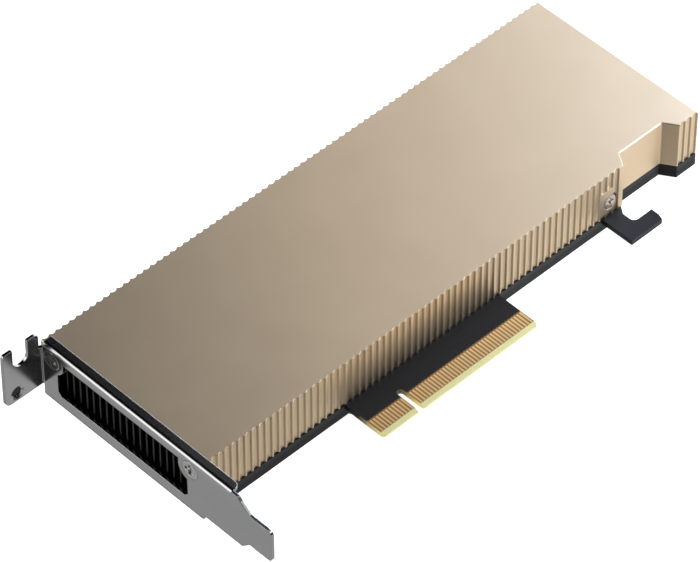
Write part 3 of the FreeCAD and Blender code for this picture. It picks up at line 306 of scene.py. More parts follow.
class Finish:
    """One procedural material, built from its shader outwards."""

    def __init__(self, name, base, metallic, roughness):
        self.material = bpy.data.materials.new(name)
        self.material.use_nodes = True
        self.nodes = self.material.node_tree.nodes
        self.links = self.material.node_tree.links
        self.nodes.clear()
        self.shader = self.nodes.new("ShaderNodeBsdfPrincipled")
        output = self.nodes.new("ShaderNodeOutputMaterial")
        self.link(self.shader.outputs["BSDF"], output.inputs["Surface"])
        self.base = tuple(base)
        self.set("Base Color", self.base + (1.0,))
        self.set("Metallic", metallic)
        self.set("Roughness", roughness)
        self.where = self.nodes.new("ShaderNodeTexCoord").outputs["Object"]
        self.edge = None

    def set(self, socket, value):
        """Puts a constant on one of the shader's sockets."""
        self.shader.inputs[socket].default_value = value

    def link(self, start, end):
        self.links.new(start, end)

    def noise(self, grain, detail=3.0, stretch=EVEN):
        """Noise whose grain is about that size, stretched along the card's axes."""
        place = self.nodes.new("ShaderNodeMapping")
        place.inputs["Scale"].default_value = stretch
        self.link(self.where, place.inputs["Vector"])
        node = self.nodes.new("ShaderNodeTexNoise")
        node.inputs["Scale"].default_value = 1.0 / grain
        node.inputs["Detail"].default_value = detail
        self.link(place.outputs["Vector"], node.inputs["Vector"])
        return node.outputs["Fac"]

    def spread(self, value, low, high, first=0.3, last=0.7):
        """The value between first and last, spread from low to high."""
        node = self.nodes.new("ShaderNodeMapRange")
        node.inputs["From Min"].default_value = first
        node.inputs["From Max"].default_value = last
        node.inputs["To Min"].default_value = low
        node.inputs["To Max"].default_value = high
        self.link(value, node.inputs["Value"])
        return node.outputs["Result"]

    def blend(self, factor, first, second):
        """Two colours, or sockets that give one, mixed by the factor."""
        node = self.nodes.new("ShaderNodeMix")
        node.data_type = "RGBA"
        self.link(factor, node.inputs["Factor"])
        for side, number in ((first, MIX_FIRST), (second, MIX_SECOND)):
            socket = node.inputs[number]
            if isinstance(side, tuple):
                socket.default_value = side[:3] + (1.0,)
            else:
                self.link(side, socket)
        return node.outputs[MIX_RESULT]

    def mottle(self, grain, amount, stretch=EVEN):
        """The base colour a little darker and lighter from place to place."""
        darker = tuple(channel * (1.0 - amount) for channel in self.base)
        lighter = tuple(min(channel * (1.0 + amount), 1.0) for channel in self.base)
        tone = self.spread(self.noise(grain, stretch=stretch), 0.0, 1.0)
        shade = self.blend(tone, darker, lighter)
        self.link(shade, self.shader.inputs["Base Color"])
        return shade

    def vary_gloss(self, grain, low, high, stretch=EVEN):
        """Roughness that wanders between low and high."""
        gloss = self.spread(self.noise(grain, stretch=stretch), low, high)
        self.link(gloss, self.shader.inputs["Roughness"])

    def soften(self, radius):
        """Edges that catch the light as if they were rounded to that radius."""
        edge = self.nodes.new("ShaderNodeBevel")
        edge.samples = BEVEL_SAMPLES
        edge.inputs["Radius"].default_value = radius
        self.link(edge.outputs["Normal"], self.shader.inputs["Normal"])
        self.edge = edge.outputs["Normal"]

    def roughen(self, grain, height, strength, stretch=EVEN):
        """A fine relief of that height."""
        bump = self.nodes.new("ShaderNodeBump")
        if self.edge is not None:
            self.link(self.edge, bump.inputs["Normal"])
        bump.inputs["Distance"].default_value = height
        bump.inputs["Strength"].default_value = strength
        self.link(self.noise(grain, stretch=stretch), bump.inputs["Height"])
        self.link(bump.outputs["Normal"], self.shader.inputs["Normal"])

    def axis(self, name):
        """One of the card's own coordinates."""
        node = self.nodes.new("ShaderNodeSeparateXYZ")
        self.link(self.where, node.inputs["Vector"])
        return node.outputs[name]

    def math(self, kind, first, second):
        """Arithmetic on two numbers or sockets."""
        node = self.nodes.new("ShaderNodeMath")
        node.operation = kind
        for side, socket in ((first, node.inputs[0]), (second, node.inputs[1])):
            if isinstance(side, (int, float)):
                socket.default_value = side
            else:
                self.link(side, socket)
        return node.outputs["Value"]


def paint(finish, *names):
    """The finish on these CAD nodes."""
    for name in names:
        for place in nodes[name].material_slots:
            place.material = finish.material


def anodised_metal(name, base, roughness):
    """Bead-blasted and anodised: satin, with a very fine grain."""
    finish = Finish(name, base, metallic=0.8, roughness=roughness)
    finish.mottle(grain=14.0 * MM, amount=0.015)
    finish.vary_gloss(grain=9.0 * MM, low=roughness - 0.015, high=roughness + 0.015)
    finish.soften(radius=0.18 * MM)
    finish.roughen(grain=0.12 * MM, height=0.004 * MM, strength=0.35)
    return finish


def plated_steel(name, base, roughness):
    """Plated sheet with a faint grain from rolling."""
    rolled = (1.0, 0.25, 1.0)
    finish = Finish(name, base, metallic=1.0, roughness=roughness)
    finish.mottle(grain=9.0 * MM, amount=0.02, stretch=rolled)
    finish.vary_gloss(
        grain=8.0 * MM, low=roughness - 0.015, high=roughness + 0.015, stretch=rolled
    )
    finish.soften(radius=0.24 * MM)
    return finish


def moulded_black(name, base, roughness):
    """Matt black coat or moulding with a fine orange peel."""
    finish = Finish(name, base, metallic=0.0, roughness=roughness)
    finish.set("Specular IOR Level", 0.20)
    finish.mottle(grain=1.2 * MM, amount=0.12)
    finish.vary_gloss(grain=3.0 * MM, low=roughness - 0.04, high=roughness + 0.04)
    finish.roughen(grain=0.18 * MM, height=0.008 * MM, strength=0.4)
    return finish


def board_finish(settings):
    """Black lacquer on the faces, bare laminate at the tab's cut edges and tip."""
    finish = Finish("board_laminate", settings.mask, metallic=0.0, roughness=0.46)
    finish.set("Specular IOR Level", 0.3)
    lacquer = finish.mottle(grain=2.0 * MM, amount=0.10)
    depth = finish.math("ADD", finish.axis("Z"), -BOARD_MIDDLE)
    along = finish.axis("Y")
    off_middle = finish.math("ABSOLUTE", depth, 0.0)
    below_lacquer = finish.spread(off_middle, 1.0, 0.0, LACQUER_START, LACQUER_END)
    near_tip = finish.spread(along, 1.0, 0.0, TAB_ROOT_START, TAB_ROOT_END)
    weave = finish.noise(grain=0.35 * MM, detail=2.0, stretch=(1.0, 1.0, 3.0))
    dull = tuple(channel * WEAVE_SHADE for channel in settings.laminate)
    fibre = finish.blend(finish.spread(weave, 0.0, 1.0), dull, tuple(settings.laminate))
    on_tab = finish.spread(finish.axis("X"), 1.0, 0.0, TAB_SIDE, TAB_SIDE + 2.0 * SHARP)
    cut = finish.math("MULTIPLY", finish.math("MULTIPLY", below_lacquer, near_tip), on_tab)
    unmasked = finish.spread(along, 1.0, 0.0, MASK_EDGE - SHARP, MASK_EDGE + SHARP)
    bare = finish.math("MULTIPLY", unmasked, on_tab)
    face = finish.blend(bare, lacquer, tuple(settings.bare_face))
    finish.link(finish.blend(cut, face, fibre), finish.shader.inputs["Base Color"])
    return finish


def contact_finish(settings, pitch):
    """Hard gold, polished a little along each contact, with painted shade darkening it towards
    its sides as if it were rounded.
    """
    finish = Finish("contact_plating", settings.plating, metallic=1.0, roughness=0.34)
    pitches = finish.math("DIVIDE", finish.axis("X"), pitch)
    offset = finish.math("SUBTRACT", finish.math("FRACT", pitches, 0.0), 0.5)
    from_middle = finish.math("ABSOLUTE", offset, 0.0)
    # Painted shade: each contact gets darker towards its sides, as if its rounded edges turned
    # away from the light.
    painted_rim_shade = finish.spread(from_middle, 0.0, 1.0, PAINTED_SHADE_START, PAINTED_SHADE_FULL)
    shaded = tuple(channel * PAINTED_RIM_SHADE for channel in settings.plating)
    finish.link(
        finish.blend(painted_rim_shade, tuple(settings.plating), shaded),
        finish.shader.inputs["Base Color"],
    )
    finish.vary_gloss(grain=0.6 * MM, low=0.30, high=0.38, stretch=(1.0, 0.2, 1.0))
    return finish


# -------------------------------------------------------------- operators


class CARD_OT_shroud(bpy.types.Operator):
    """Gives the fluted shroud and its screws their anodised finish"""

    bl_idname = "card.shroud"
    bl_label = "Shroud"

    def execute(self, context):
        settings = context.scene.card_finishes
        paint(
            anodised_metal("shroud_metal", settings.shroud, settings.shroud_rough),
            "heatsink_shroud",
        )
        paint(
            anodised_metal("shroud_fastener", settings.shroud_screw, roughness=0.32),
            "side_screws",
        )
        return {"FINISHED"}


class CARD_OT_heatsink(bpy.types.Operator):
    """Gives the finned heat sink its dark finish"""

    bl_idname = "card.heatsink"
    bl_label = "Heat sink"

    def execute(self, context):
        settings = context.scene.card_finishes
        finish = Finish("sink_metal", settings.sink, metallic=1.0, roughness=0.38)
        finish.mottle(grain=5.0 * MM, amount=0.06, stretch=(0.2, 1.0, 1.0))
        finish.roughen(
            grain=0.2 * MM, height=0.004 * MM, strength=0.3, stretch=(0.1, 1.0, 1.0)
        )
        paint(finish, "heatsink")
        return {"FINISHED"}


class CARD_OT_board(bpy.types.Operator):
    """Gives the circuit board its lacquer and bare edges"""

    bl_idname = "card.board"
    bl_label = "Circuit board"

    def execute(self, context):
        paint(board_finish(context.scene.card_finishes), "circuit_board")
        return {"FINISHED"}


class CARD_OT_contacts(bpy.types.Operator):
    """Plates the contacts of the edge connector"""

    bl_idname = "card.contacts"
    bl_label = "Contacts"

    def execute(self, context):
        pitch = context.scene.card_details.contact_pitch
        finish = contact_finish(context.scene.card_finishes, pitch)
        paint(finish, "contacts_front", "contacts_rear")
        return {"FINISHED"}


class CARD_OT_backplate(bpy.types.Operator):
    """Gives the backplate its powder coat and the film its sheen"""

    bl_idname = "card.backplate"
    bl_label = "Backplate"

    def execute(self, context):
        settings = context.scene.card_finishes
        coat = moulded_black("backplate_metal", settings.backplate, roughness=0.50)
        paint(coat, "backplate")
        film = moulded_black("black_film", (0.015, 0.015, 0.017), roughness=0.28)
        paint(film, "insulation_film")
        return {"FINISHED"}


class CARD_OT_bracket(bpy.types.Operator):
    """Plates the mounting bracket"""

    bl_idname = "card.bracket"
    bl_label = "Bracket"

    def execute(self, context):
        settings = context.scene.card_finishes
        paint(
            plated_steel("bracket_plate", settings.bracket, settings.bracket_rough),
            "bracket",
        )
        return {"FINISHED"}


class CARD_OT_fasteners(bpy.types.Operator):
    """Plates the bracket screws and blackens the cooler screws"""

    bl_idname = "card.fasteners"
    bl_label = "Screws"

    def execute(self, context):
        settings = context.scene.card_finishes
        bright = plated_steel("bright_fastener", settings.bright_screw, roughness=0.24)
        paint(bright, "bracket_screws")
        dark = Finish("dark_fastener", settings.dark_screw, metallic=0.7, roughness=0.38)
        dark.mottle(grain=0.9 * MM, amount=0.12)
        dark.roughen(grain=0.15 * MM, height=0.004 * MM, strength=0.4)
        paint(dark, "cooler_screws")
        return {"FINISHED"}


class CARD_OT_processor(bpy.types.Operator):
    """Finishes the processor package, its ring, die and thermal compound"""

    bl_idname = "card.processor"
    bl_label = "Processor"

    def execute(self, context):
        laminate = Finish(
            "green_laminate", (0.020, 0.085, 0.045), metallic=0.0, roughness=0.42
        )
        laminate.mottle(grain=0.7 * MM, amount=0.15)
        paint(laminate, "gpu_substrate")
        ring = Finish("stiffener_plate", (0.50, 0.49, 0.46), metallic=1.0, roughness=0.34)
        ring.mottle(grain=3.0 * MM, amount=0.05, stretch=(1.0, 0.3, 1.0))
        paint(ring, "gpu_stiffener")
        silicon = Finish("silicon", (0.16, 0.17, 0.20), metallic=0.85, roughness=0.12)
        silicon.mottle(grain=6.0 * MM, amount=0.06)
        paint(silicon, "gpu_die")
        compound = Finish(
            "grey_compound", (0.42, 0.42, 0.43), metallic=0.15, roughness=0.62
        )
        compound.mottle(grain=1.5 * MM, amount=0.10)
        compound.roughen(grain=0.9 * MM, height=0.03 * MM, strength=0.6)
        paint(compound, "thermal_compound")
        return {"FINISHED"}


class CARD_OT_memory(bpy.types.Operator):
    """Finishes the memory packages and every thermal pad"""

    bl_idname = "card.memory"
    bl_label = "Memory and pads"

    def execute(self, context):
        epoxy = moulded_black("memory_epoxy", (0.024, 0.024, 0.026), roughness=0.55)
        paint(epoxy, "memory_packages")
        pad = Finish("thermal_pad", (0.36, 0.40, 0.46), metallic=0.0, roughness=0.78)
        pad.mottle(grain=0.8 * MM, amount=0.10)
        pad.roughen(grain=0.5 * MM, height=0.03 * MM, strength=0.5)
        paint(pad, "memory_pads", "backplate_pads", "inductor_pads")
        return {"FINISHED"}


class CARD_OT_power(bpy.types.Operator):
    """Finishes the inductors, power stages and polymer capacitors"""

    bl_idname = "card.power"
    bl_label = "Power supply"

    def execute(self, context):
        ferrite = Finish("ferrite", (0.075, 0.075, 0.080), metallic=0.2, roughness=0.58)
        ferrite.mottle(grain=0.5 * MM, amount=0.18)
        ferrite.roughen(grain=0.25 * MM, height=0.01 * MM, strength=0.5)
        paint(ferrite, "power_inductors")
        paint(
            moulded_black("chip_epoxy", (0.020, 0.020, 0.021), roughness=0.48),
            "power_stages",
            "polymer_capacitors",
            "voltage_controller",
            "management_controller",
            "firmware_flash",
        )
        return {"FINISHED"}


class CARD_OT_small_chips(bpy.types.Operator):
    """Finishes the small ceramic capacitors and the crystal's can"""

    bl_idname = "card.small_chips"
    bl_label = "Small chips"

    def execute(self, context):
        ceramic = Finish("ceramic_chip", (0.36, 0.25, 0.15), metallic=0.0, roughness=0.45)
        ceramic.mottle(grain=0.4 * MM, amount=0.10)
        paint(ceramic, "coupling_capacitors", "rear_capacitors")
        can = Finish("crystal_can", (0.66, 0.65, 0.62), metallic=1.0, roughness=0.25)
        can.mottle(grain=1.0 * MM, amount=0.05, stretch=(0.2, 1.0, 1.0))
        paint(can, "clock_crystal")
        return {"FINISHED"}


# ------------------------------------------------ pieces that repeat


BLOCK_INPUTS = (
    ("Start", "NodeSocketVector"),
    ("Columns", "NodeSocketInt"),
    ("Column step", "NodeSocketVector"),
    ("Rows", "NodeSocketInt"),
    ("Row step", "NodeSocketVector"),
    ("Block size", "NodeSocketVector"),
    ("Lean", "NodeSocketVector"),
    ("Finish", "NodeSocketMaterial"),
)


# Values of those inputs for one upright block by itself.
ONE_BLOCK = {
    "Columns": 1,
    "Column step": ZERO,
    "Rows": 1,
    "Row step": ZERO,
    "Lean": ZERO,
}


def start_tree(name, inputs):
    """An empty tree with these inputs and a shape for its output."""
    tree = bpy.data.node_groups.new(name, "GeometryNodeTree")
    for label, kind in inputs:
        tree.interface.new_socket(name=label, in_out="INPUT", socket_type=kind)
    tree.interface.new_socket(
        name="Geometry", in_out="OUTPUT", socket_type="NodeSocketGeometry"
    )
    return tree, tree.nodes.new("NodeGroupInput").outputs


def end_tree(tree, source, shape):
    """The shape made real and given its finish, at the tree's end."""
    solid = tree.nodes.new("GeometryNodeRealizeInstances")
    tree.links.new(shape, solid.inputs["Geometry"])
    coat = tree.nodes.new("GeometryNodeSetMaterial")
    tree.links.new(solid.outputs["Geometry"], coat.inputs["Geometry"])
    tree.links.new(source["Finish"], coat.inputs["Material"])
    sink = tree.nodes.new("NodeGroupOutput")
    tree.links.new(coat.outputs["Geometry"], sink.inputs["Geometry"])
    return tree


def block_rows_tree():
    """Rows and columns of one small block, as a tree of Geometry Nodes."""
    tree, source = start_tree("Rows of blocks", BLOCK_INPUTS)
    row = tree.nodes.new("GeometryNodeMeshLine")
    tree.links.new(source["Columns"], row.inputs["Count"])
    tree.links.new(source["Column step"], row.inputs["Offset"])
    rank = tree.nodes.new("GeometryNodeMeshLine")
    tree.links.new(source["Rows"], rank.inputs["Count"])
    tree.links.new(source["Start"], rank.inputs["Start Location"])
    tree.links.new(source["Row step"], rank.inputs["Offset"])
    rows = tree.nodes.new("GeometryNodeInstanceOnPoints")
    tree.links.new(rank.outputs["Mesh"], rows.inputs["Points"])
    tree.links.new(row.outputs["Mesh"], rows.inputs["Instance"])
    places = tree.nodes.new("GeometryNodeRealizeInstances")
    tree.links.new(rows.outputs["Instances"], places.inputs["Geometry"])
    block = tree.nodes.new("GeometryNodeMeshCube")
    tree.links.new(source["Block size"], block.inputs["Size"])
    blocks = tree.nodes.new("GeometryNodeInstanceOnPoints")
    tree.links.new(places.outputs["Geometry"], blocks.inputs["Points"])
    tree.links.new(block.outputs["Mesh"], blocks.inputs["Instance"])
    tree.links.new(source["Lean"], blocks.inputs["Rotation"])
    return end_tree(tree, source, blocks.outputs["Instances"])


DISC_INPUTS = (
    ("Middle", "NodeSocketVector"),
    ("Radius", "NodeSocketFloat"),
    ("Thickness", "NodeSocketFloat"),
    ("Turn", "NodeSocketVector"),
    ("Sides", "NodeSocketInt"),
    ("Finish", "NodeSocketMaterial"),
)


def disc_tree():
    """One flat disc, as a tree of Geometry Nodes."""
    tree, source = start_tree("Disc", DISC_INPUTS)
    disc = tree.nodes.new("GeometryNodeMeshCylinder")
    tree.links.new(source["Sides"], disc.inputs["Vertices"])
    tree.links.new(source["Radius"], disc.inputs["Radius"])
    tree.links.new(source["Thickness"], disc.inputs["Depth"])
    placed = tree.nodes.new("GeometryNodeTransform")
    tree.links.new(disc.outputs["Mesh"], placed.inputs["Geometry"])
    tree.links.new(source["Middle"], placed.inputs["Translation"])
    tree.links.new(source["Turn"], placed.inputs["Rotation"])
    return end_tree(tree, source, placed.outputs["Geometry"])


def plain_mesh(tree, values):
    """The plain mesh that the tree makes from these values."""
    maker = bpy.data.objects.new("maker", bpy.data.meshes.new("maker"))
    bpy.context.scene.collection.objects.link(maker)
    modifier = maker.modifiers.new("Pieces", "NODES")
    modifier.node_group = tree
    for item in tree.interface.items_tree:
        if item.in_out == "INPUT":
            modifier[item.identifier] = values[item.name]
    view = bpy.context.evaluated_depsgraph_get()
    mesh = bpy.data.meshes.new_from_object(maker.evaluated_get(view))
    maker.modifiers.remove(modifier)
    bpy.data.objects.remove(maker)
    return mesh


def joined(name, meshes, finish):
    """One piece made of several meshes, riding with the card."""
    points = []
    faces = []
    for mesh in meshes:
        start = len(points)
        points += [tuple(vertex.co) for vertex in mesh.vertices]
        faces += [tuple(start + i for i in face.vertices) for face in mesh.polygons]
        bpy.data.meshes.remove(mesh)
    whole = bpy.data.meshes.new(name)
    whole.from_pydata(points, [], faces)
    whole.materials.append(finish.material)
    piece = bpy.data.objects.new(name, whole)
    bpy.context.scene.collection.objects.link(piece)
    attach(piece, "root")


class CARD_OT_traces(bpy.types.Operator):
    """Raises the copper traces that run from the contacts under the lacquer"""

    bl_idname = "card.traces"
    bl_label = "Traces"

    def execute(self, context):
        sizes = context.scene.card_details
        finish = Finish("traced_lacquer", (0.009, 0.009, 0.009), metallic=0.0, roughness=0.42)
        finish.set("Specular IOR Level", 0.34)
        finish.mottle(grain=2.0 * MM, amount=0.10)
        tree = block_rows_tree()
        thickness = 2.0 * sizes.trace_rise
        sideways = -math.sin(sizes.trace_lean)
        upwards = math.cos(sizes.trace_lean)
        slant = sizes.trace_run * Vector((sideways, upwards, 0.0))
        first_near = -CONTACT_FIRST - (NEAR_CONTACTS - 1) * sizes.contact_pitch
        meshes = []
        for first, count in ((first_near, NEAR_CONTACTS), (CONTACT_FIRST, FAR_CONTACTS)):
            stub_middle = Vector((first, CONTACT_TOP + sizes.trace_stub / 2.0, 0.0))
            stub_end = Vector((first, CONTACT_TOP + sizes.trace_stub, 0.0))
            for middle, run, lean in (
                (stub_middle, sizes.trace_stub, 0.0),
                (stub_end + slant / 2.0, sizes.trace_run, sizes.trace_lean),
            ):
                values = {
                    **ONE_BLOCK,
                    "Start": middle,
                    "Columns": count,
                    "Column step": (sizes.contact_pitch, 0.0, 0.0),
                    "Block size": (sizes.trace_width, run, thickness),
                    "Lean": (0.0, 0.0, lean),
                    "Finish": finish.material,
                }
                meshes.append(plain_mesh(tree, values))
        joined("tab_traces", meshes, finish)
        return {"FINISHED"}


class CARD_OT_fin_tips(bpy.types.Operator):
    """Runs the front ends of the fins down to the board, behind the bracket's vent"""

    bl_idname = "card.fin_tips"
    bl_label = "Fin tips"

    def execute(self, context):
        sizes = context.scene.card_details
        settings = context.scene.card_finishes
        finish = Finish("fin_tip_metal", settings.fin_tip, metallic=1.0, roughness=0.40)
        finish.mottle(grain=1.5 * MM, amount=0.10, stretch=(1.0, 1.0, 0.3))
        first_corner, last_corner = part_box("heatsink")
        front = first_corner.x
        top = last_corner.z
        low = sizes.fin_tip_gap
        reach = sizes.fin_tip_reach
        values = {
            **ONE_BLOCK,
            "Start": (front - reach / 2.0, FIN_FIRST, (low + top) / 2.0),
            "Rows": FIN_COUNT,
            "Row step": (0.0, FIN_PITCH, 0.0),
            "Block size": (reach, FIN_THICKNESS, top - low),
            "Finish": finish.material,
        }
        mesh = plain_mesh(block_rows_tree(), values)
        joined("fin_tips", [mesh], finish)
        return {"FINISHED"}


class CARD_OT_dimple_floor(bpy.types.Operator):
    """Closes the pressed dimple of the bracket's ear, with its end painted dark as shade"""

    bl_idname = "card.dimple_floor"
    bl_label = "Dimple"

    def execute(self, context):
        sizes = context.scene.card_details
        # Painted shade: the dimple's closed end is near black, much darker than the bracket's
        # steel, to stand in for the shade inside the hollow.
        finish = Finish("dimple_shade", (0.035, 0.035, 0.035), metallic=1.0, roughness=0.30)
        finish.mottle(grain=0.9 * MM, amount=0.12)
        values = {
            "Middle": DIMPLE_MIDDLE,
            "Radius": sizes.dimple_radius,
            "Thickness": sizes.dimple_thickness,
            "Turn": DIMPLE_TURN,
            "Sides": DIMPLE_SIDES,
            "Finish": finish.material,
        }
        mesh = plain_mesh(disc_tree(), values)
        joined("dimple_floor", [mesh], finish)
        return {"FINISHED"}


class CARD_OT_terminals(bpy.types.Operator):
    """Tins the ends of the small ceramic capacitors"""

    bl_idname = "card.terminals"
    bl_label = "Capacitor terminals"

    def execute(self, context):
        sizes = context.scene.card_details
        finish = Finish("tin_plating", (0.72, 0.72, 0.70), metallic=1.0, roughness=0.36)
        finish.mottle(grain=0.4 * MM, amount=0.06)
        tree = block_rows_tree()
        skin = sizes.terminal_skin
        for name, axis, columns, rows in (
            ("coupling_capacitors", 1, sizes.coupling_rows, 1),
            ("rear_capacitors", 0, sizes.rear_rows, sizes.rear_rows),
        ):
            low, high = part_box(name)
            chip = Vector((CHIP_WIDTH, CHIP_WIDTH, high.z - low.z))
            chip[axis] = CHIP_LENGTH
            steps = [0.0, 0.0]
            for i, count in ((0, columns), (1, rows)):
                if count > 1:
                    steps[i] = (high[i] - low[i] - chip[i]) / (count - 1)
            cap = chip + Vector((2.0 * skin, 2.0 * skin, 0.0))
            cap[axis] = sizes.terminal_length
            cap.z += skin
            # A cap covers its chip's free face: above the board in front, below it behind.
            lift = skin / 2.0 if low.z > BOARD_MIDDLE else -skin / 2.0
            meshes = []
            for side in (-1.0, 1.0):
                middle = low + chip / 2.0
                middle.z = (low.z + high.z) / 2.0 + lift
                middle[axis] += side * (chip[axis] / 2.0 + skin - cap[axis] / 2.0)
                values = {
                    **ONE_BLOCK,
                    "Start": middle,
                    "Columns": columns,
                    "Column step": (steps[0], 0.0, 0.0),
                    "Rows": rows,
                    "Row step": (0.0, steps[1], 0.0),
                    "Block size": cap,
                    "Finish": finish.material,
                }
                meshes.append(plain_mesh(tree, values))
            joined(name.replace("capacitors", "terminals"), meshes, finish)
        return {"FINISHED"}


# ------------------------------------------------------------------ stage


def add_floor(settings):
    """A plain pale floor under the card, which the metal doesn't mirror."""
    reach = settings.floor_size
    height = cad_box[0].z - FLOOR_GAP
    corners = [(-reach, -reach), (reach, -reach), (reach, reach), (-reach, reach)]
    mesh = bpy.data.meshes.new("floor")
    mesh.from_pydata([(x, y, height) for x, y in corners], [], [(0, 1, 2, 3)])
    floor = bpy.data.objects.new("floor", mesh)
    bpy.context.scene.collection.objects.link(floor)
    finish = Finish("pale_floor", (0.86, 0.86, 0.86), metallic=0.0, roughness=0.9)
    finish.set("Emission Color", WHITE + (1.0,))
    finish.set("Emission Strength", settings.floor_glow)
    mesh.materials.append(finish.material)
    floor.visible_glossy = False
    floor.visible_shadow = False


def add_soft_box(name, place, target, size, energy, turn=0.0, tint=WHITE):
    """A rectangular soft box at a place, facing the target and turned about its own axis."""
    light = bpy.data.lights.new(name, "AREA")
    light.shape = "RECTANGLE"
    light.size, light.size_y = size
    light.energy = energy
    light.color = tint
    lamp = bpy.data.objects.new(name, light)
    facing = (Vector(target) - Vector(place)).to_track_quat("-Z", "Y").to_matrix().to_4x4()
    lamp.matrix_world = (
        Matrix.Translation(Vector(place)) @ facing @ Matrix.Rotation(turn, 4, "Z")
    )
    lamp.visible_camera = False
    bpy.context.scene.collection.objects.link(lamp)


def add_world(settings):
    """A pale studio: dimmer above, brighter below, with a dark corner by the camera."""
    world = bpy.data.worlds.new("studio")
    bpy.context.scene.world = world
    world.use_nodes = True
    tree = world.node_tree
    tree.nodes.clear()
    where = tree.nodes.new("ShaderNodeTexCoord").outputs["Generated"]

    def level_of(patch):
        """A level that goes from outside to inside as the view nears the patch."""
        dot = tree.nodes.new("ShaderNodeVectorMath")
        dot.operation = "DOT_PRODUCT"
        dot.inputs[1].default_value = Vector(patch.direction).normalized()
        tree.links.new(where, dot.inputs[0])
        spread = tree.nodes.new("ShaderNodeMapRange")
        spread.interpolation_type = "SMOOTHSTEP"
        spread.inputs["From Min"].default_value = patch.start
        spread.inputs["From Max"].default_value = patch.full
        spread.inputs["To Min"].default_value = patch.outside
        spread.inputs["To Max"].default_value = patch.inside
        tree.links.new(dot.outputs["Value"], spread.inputs["Value"])
        return spread.outputs["Result"]

    def join(kind, first, second):
        """Two levels added or multiplied."""
        node = tree.nodes.new("ShaderNodeMath")
        node.operation = kind
        tree.links.new(first, node.inputs[0])
        tree.links.new(second, node.inputs[1])
        return node.outputs["Value"]

    dome = Patch(UPWARDS, HORIZON_START, HORIZON_FULL, settings.ground, settings.sky)
    darkened = join("MULTIPLY", level_of(DARK_CORNER), level_of(DARK_FOOT))
    dimmed = join("MULTIPLY", level_of(dome), darkened)
    light = join("ADD", dimmed, join("ADD", level_of(LEFT_GLOW), level_of(FAR_GLOW)))
    seen = tree.nodes.new("ShaderNodeBackground")
    seen.inputs["Color"].default_value = WHITE + (1.0,)
    mirrored = tree.nodes.new("ShaderNodeBackground")
    tree.links.new(light, mirrored.inputs["Strength"])
    path = tree.nodes.new("ShaderNodeLightPath")
    either = tree.nodes.new("ShaderNodeMixShader")
    tree.links.new(path.outputs["Is Camera Ray"], either.inputs["Fac"])
    tree.links.new(mirrored.outputs["Background"], either.inputs[1])
    tree.links.new(seen.outputs["Background"], either.inputs[2])
    output = tree.nodes.new("ShaderNodeOutputWorld")
    tree.links.new(either.outputs["Shader"], output.inputs["Surface"])


def add_camera(settings):
    """The camera, turned by azimuth, elevation and roll."""
    lens = bpy.data.cameras.new("camera")
    lens.sensor_width = SENSOR_WIDTH
    lens.lens = settings.lens
    lens.clip_end = FARTHEST
    camera = bpy.data.objects.new("camera", lens)
    turn = Matrix.Rotation(settings.azimuth, 4, "Z")
    turn = turn @ Matrix.Rotation(math.pi / 2.0 - settings.elevation, 4, "X")
    turn = turn @ Matrix.Rotation(settings.roll, 4, "Z")
    camera.matrix_world = Matrix.Translation(Vector(settings.place)) @ turn
    bpy.context.scene.collection.objects.link(camera)
    bpy.context.scene.camera = camera


class CARD_OT_studio(bpy.types.Operator):
    """Sets up the floor, the soft boxes, the pale studio and the camera"""

    bl_idname = "card.studio"
    bl_label = "Studio"

    def execute(self, context):
        settings = context.scene.card_studio
        add_floor(settings)
        skew = math.radians(-29.0)
        add_soft_box(
            "warm_top_box",
            place=(0.42, 0.10, 0.26),
            target=(0.42, 0.10, 0.0),
            size=(0.60, 0.90),
            energy=settings.top_light,
            turn=skew,
            tint=(1.0, 0.95, 0.86),
        )
        add_soft_box(
            "cool_top_box",
            place=(0.65, 0.01, 0.30),
            target=(0.65, 0.01, 0.0),
            size=(0.60, 0.90),
            energy=settings.far_light,
            turn=skew,
            tint=(0.50, 0.66, 1.0),
        )
        add_soft_box(
            "front_box",
            place=(0.33, -0.28, 0.42),
            target=(0.02, 0.03, 0.0),
            size=(0.35, 0.35),
            energy=settings.front_light,
        )
        add_soft_box(
            "under_box",
            place=(0.49, -0.13, -0.10),
            target=(0.49, -0.13, 0.0),
            size=(0.80, 0.90),
            energy=settings.side_light,
        )
        add_world(settings)
        add_camera(settings)
        context.scene.view_settings.view_transform = "Standard"
        return {"FINISHED"}


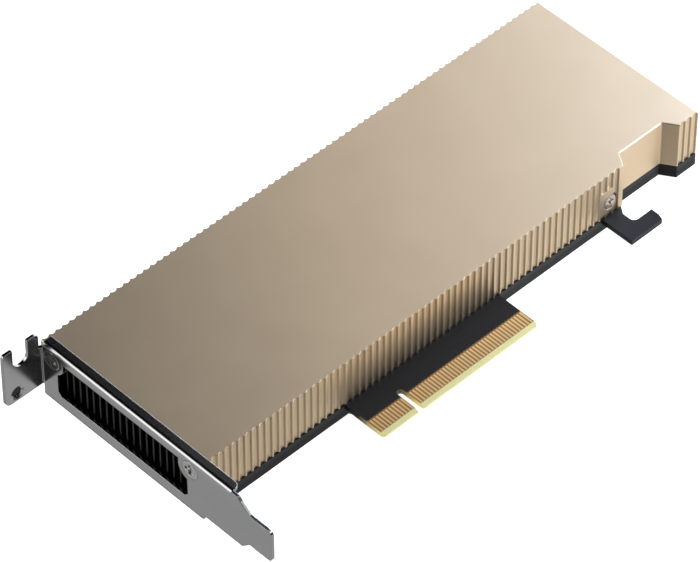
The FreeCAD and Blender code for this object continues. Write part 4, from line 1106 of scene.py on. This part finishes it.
# ------------------------------------------------------------ registration


SETTINGS = (
    ("card_finishes", CardFinishes),
    ("card_details", CardDetails),
    ("card_studio", CardStudio),
)

OPERATORS = (
    CARD_OT_shroud,
    CARD_OT_heatsink,
    CARD_OT_fin_tips,
    CARD_OT_board,
    CARD_OT_contacts,
    CARD_OT_traces,
    CARD_OT_backplate,
    CARD_OT_bracket,
    CARD_OT_dimple_floor,
    CARD_OT_fasteners,
    CARD_OT_processor,
    CARD_OT_memory,
    CARD_OT_power,
    CARD_OT_small_chips,
    CARD_OT_terminals,
    CARD_OT_studio,
)


class CARD_PT_panel(bpy.types.Panel):
    """Settings and steps of the card"""

    bl_idname = "CARD_PT_panel"
    bl_label = "Accelerator card"
    bl_space_type = "VIEW_3D"
    bl_region_type = "UI"
    bl_category = "Card"

    def draw(self, context):
        for name, group in SETTINGS:
            box = self.layout.box()
            for setting in group.__annotations__:
                box.prop(getattr(context.scene, name), setting)
        for operator in OPERATORS:
            self.layout.operator(operator.bl_idname)


def register():
    for name, group in SETTINGS:
        bpy.utils.register_class(group)
        setattr(bpy.types.Scene, name, PointerProperty(type=group))
    for operator in OPERATORS:
        bpy.utils.register_class(operator)
    bpy.utils.register_class(CARD_PT_panel)


def unregister():
    bpy.utils.unregister_class(CARD_PT_panel)
    for operator in reversed(OPERATORS):
        bpy.utils.unregister_class(operator)
    for name, group in reversed(SETTINGS):
        delattr(bpy.types.Scene, name)
        bpy.utils.unregister_class(group)


def main():
    register()
    bpy.ops.card.shroud()
    bpy.ops.card.heatsink()
    bpy.ops.card.fin_tips()
    bpy.ops.card.board()
    bpy.ops.card.contacts()
    bpy.ops.card.traces()
    bpy.ops.card.backplate()
    bpy.ops.card.bracket()
    bpy.ops.card.dimple_floor()
    bpy.ops.card.fasteners()
    bpy.ops.card.processor()
    bpy.ops.card.memory()
    bpy.ops.card.power()
    bpy.ops.card.small_chips()
    bpy.ops.card.terminals()
    bpy.ops.card.studio()


if __name__ == "__main__":
    main()
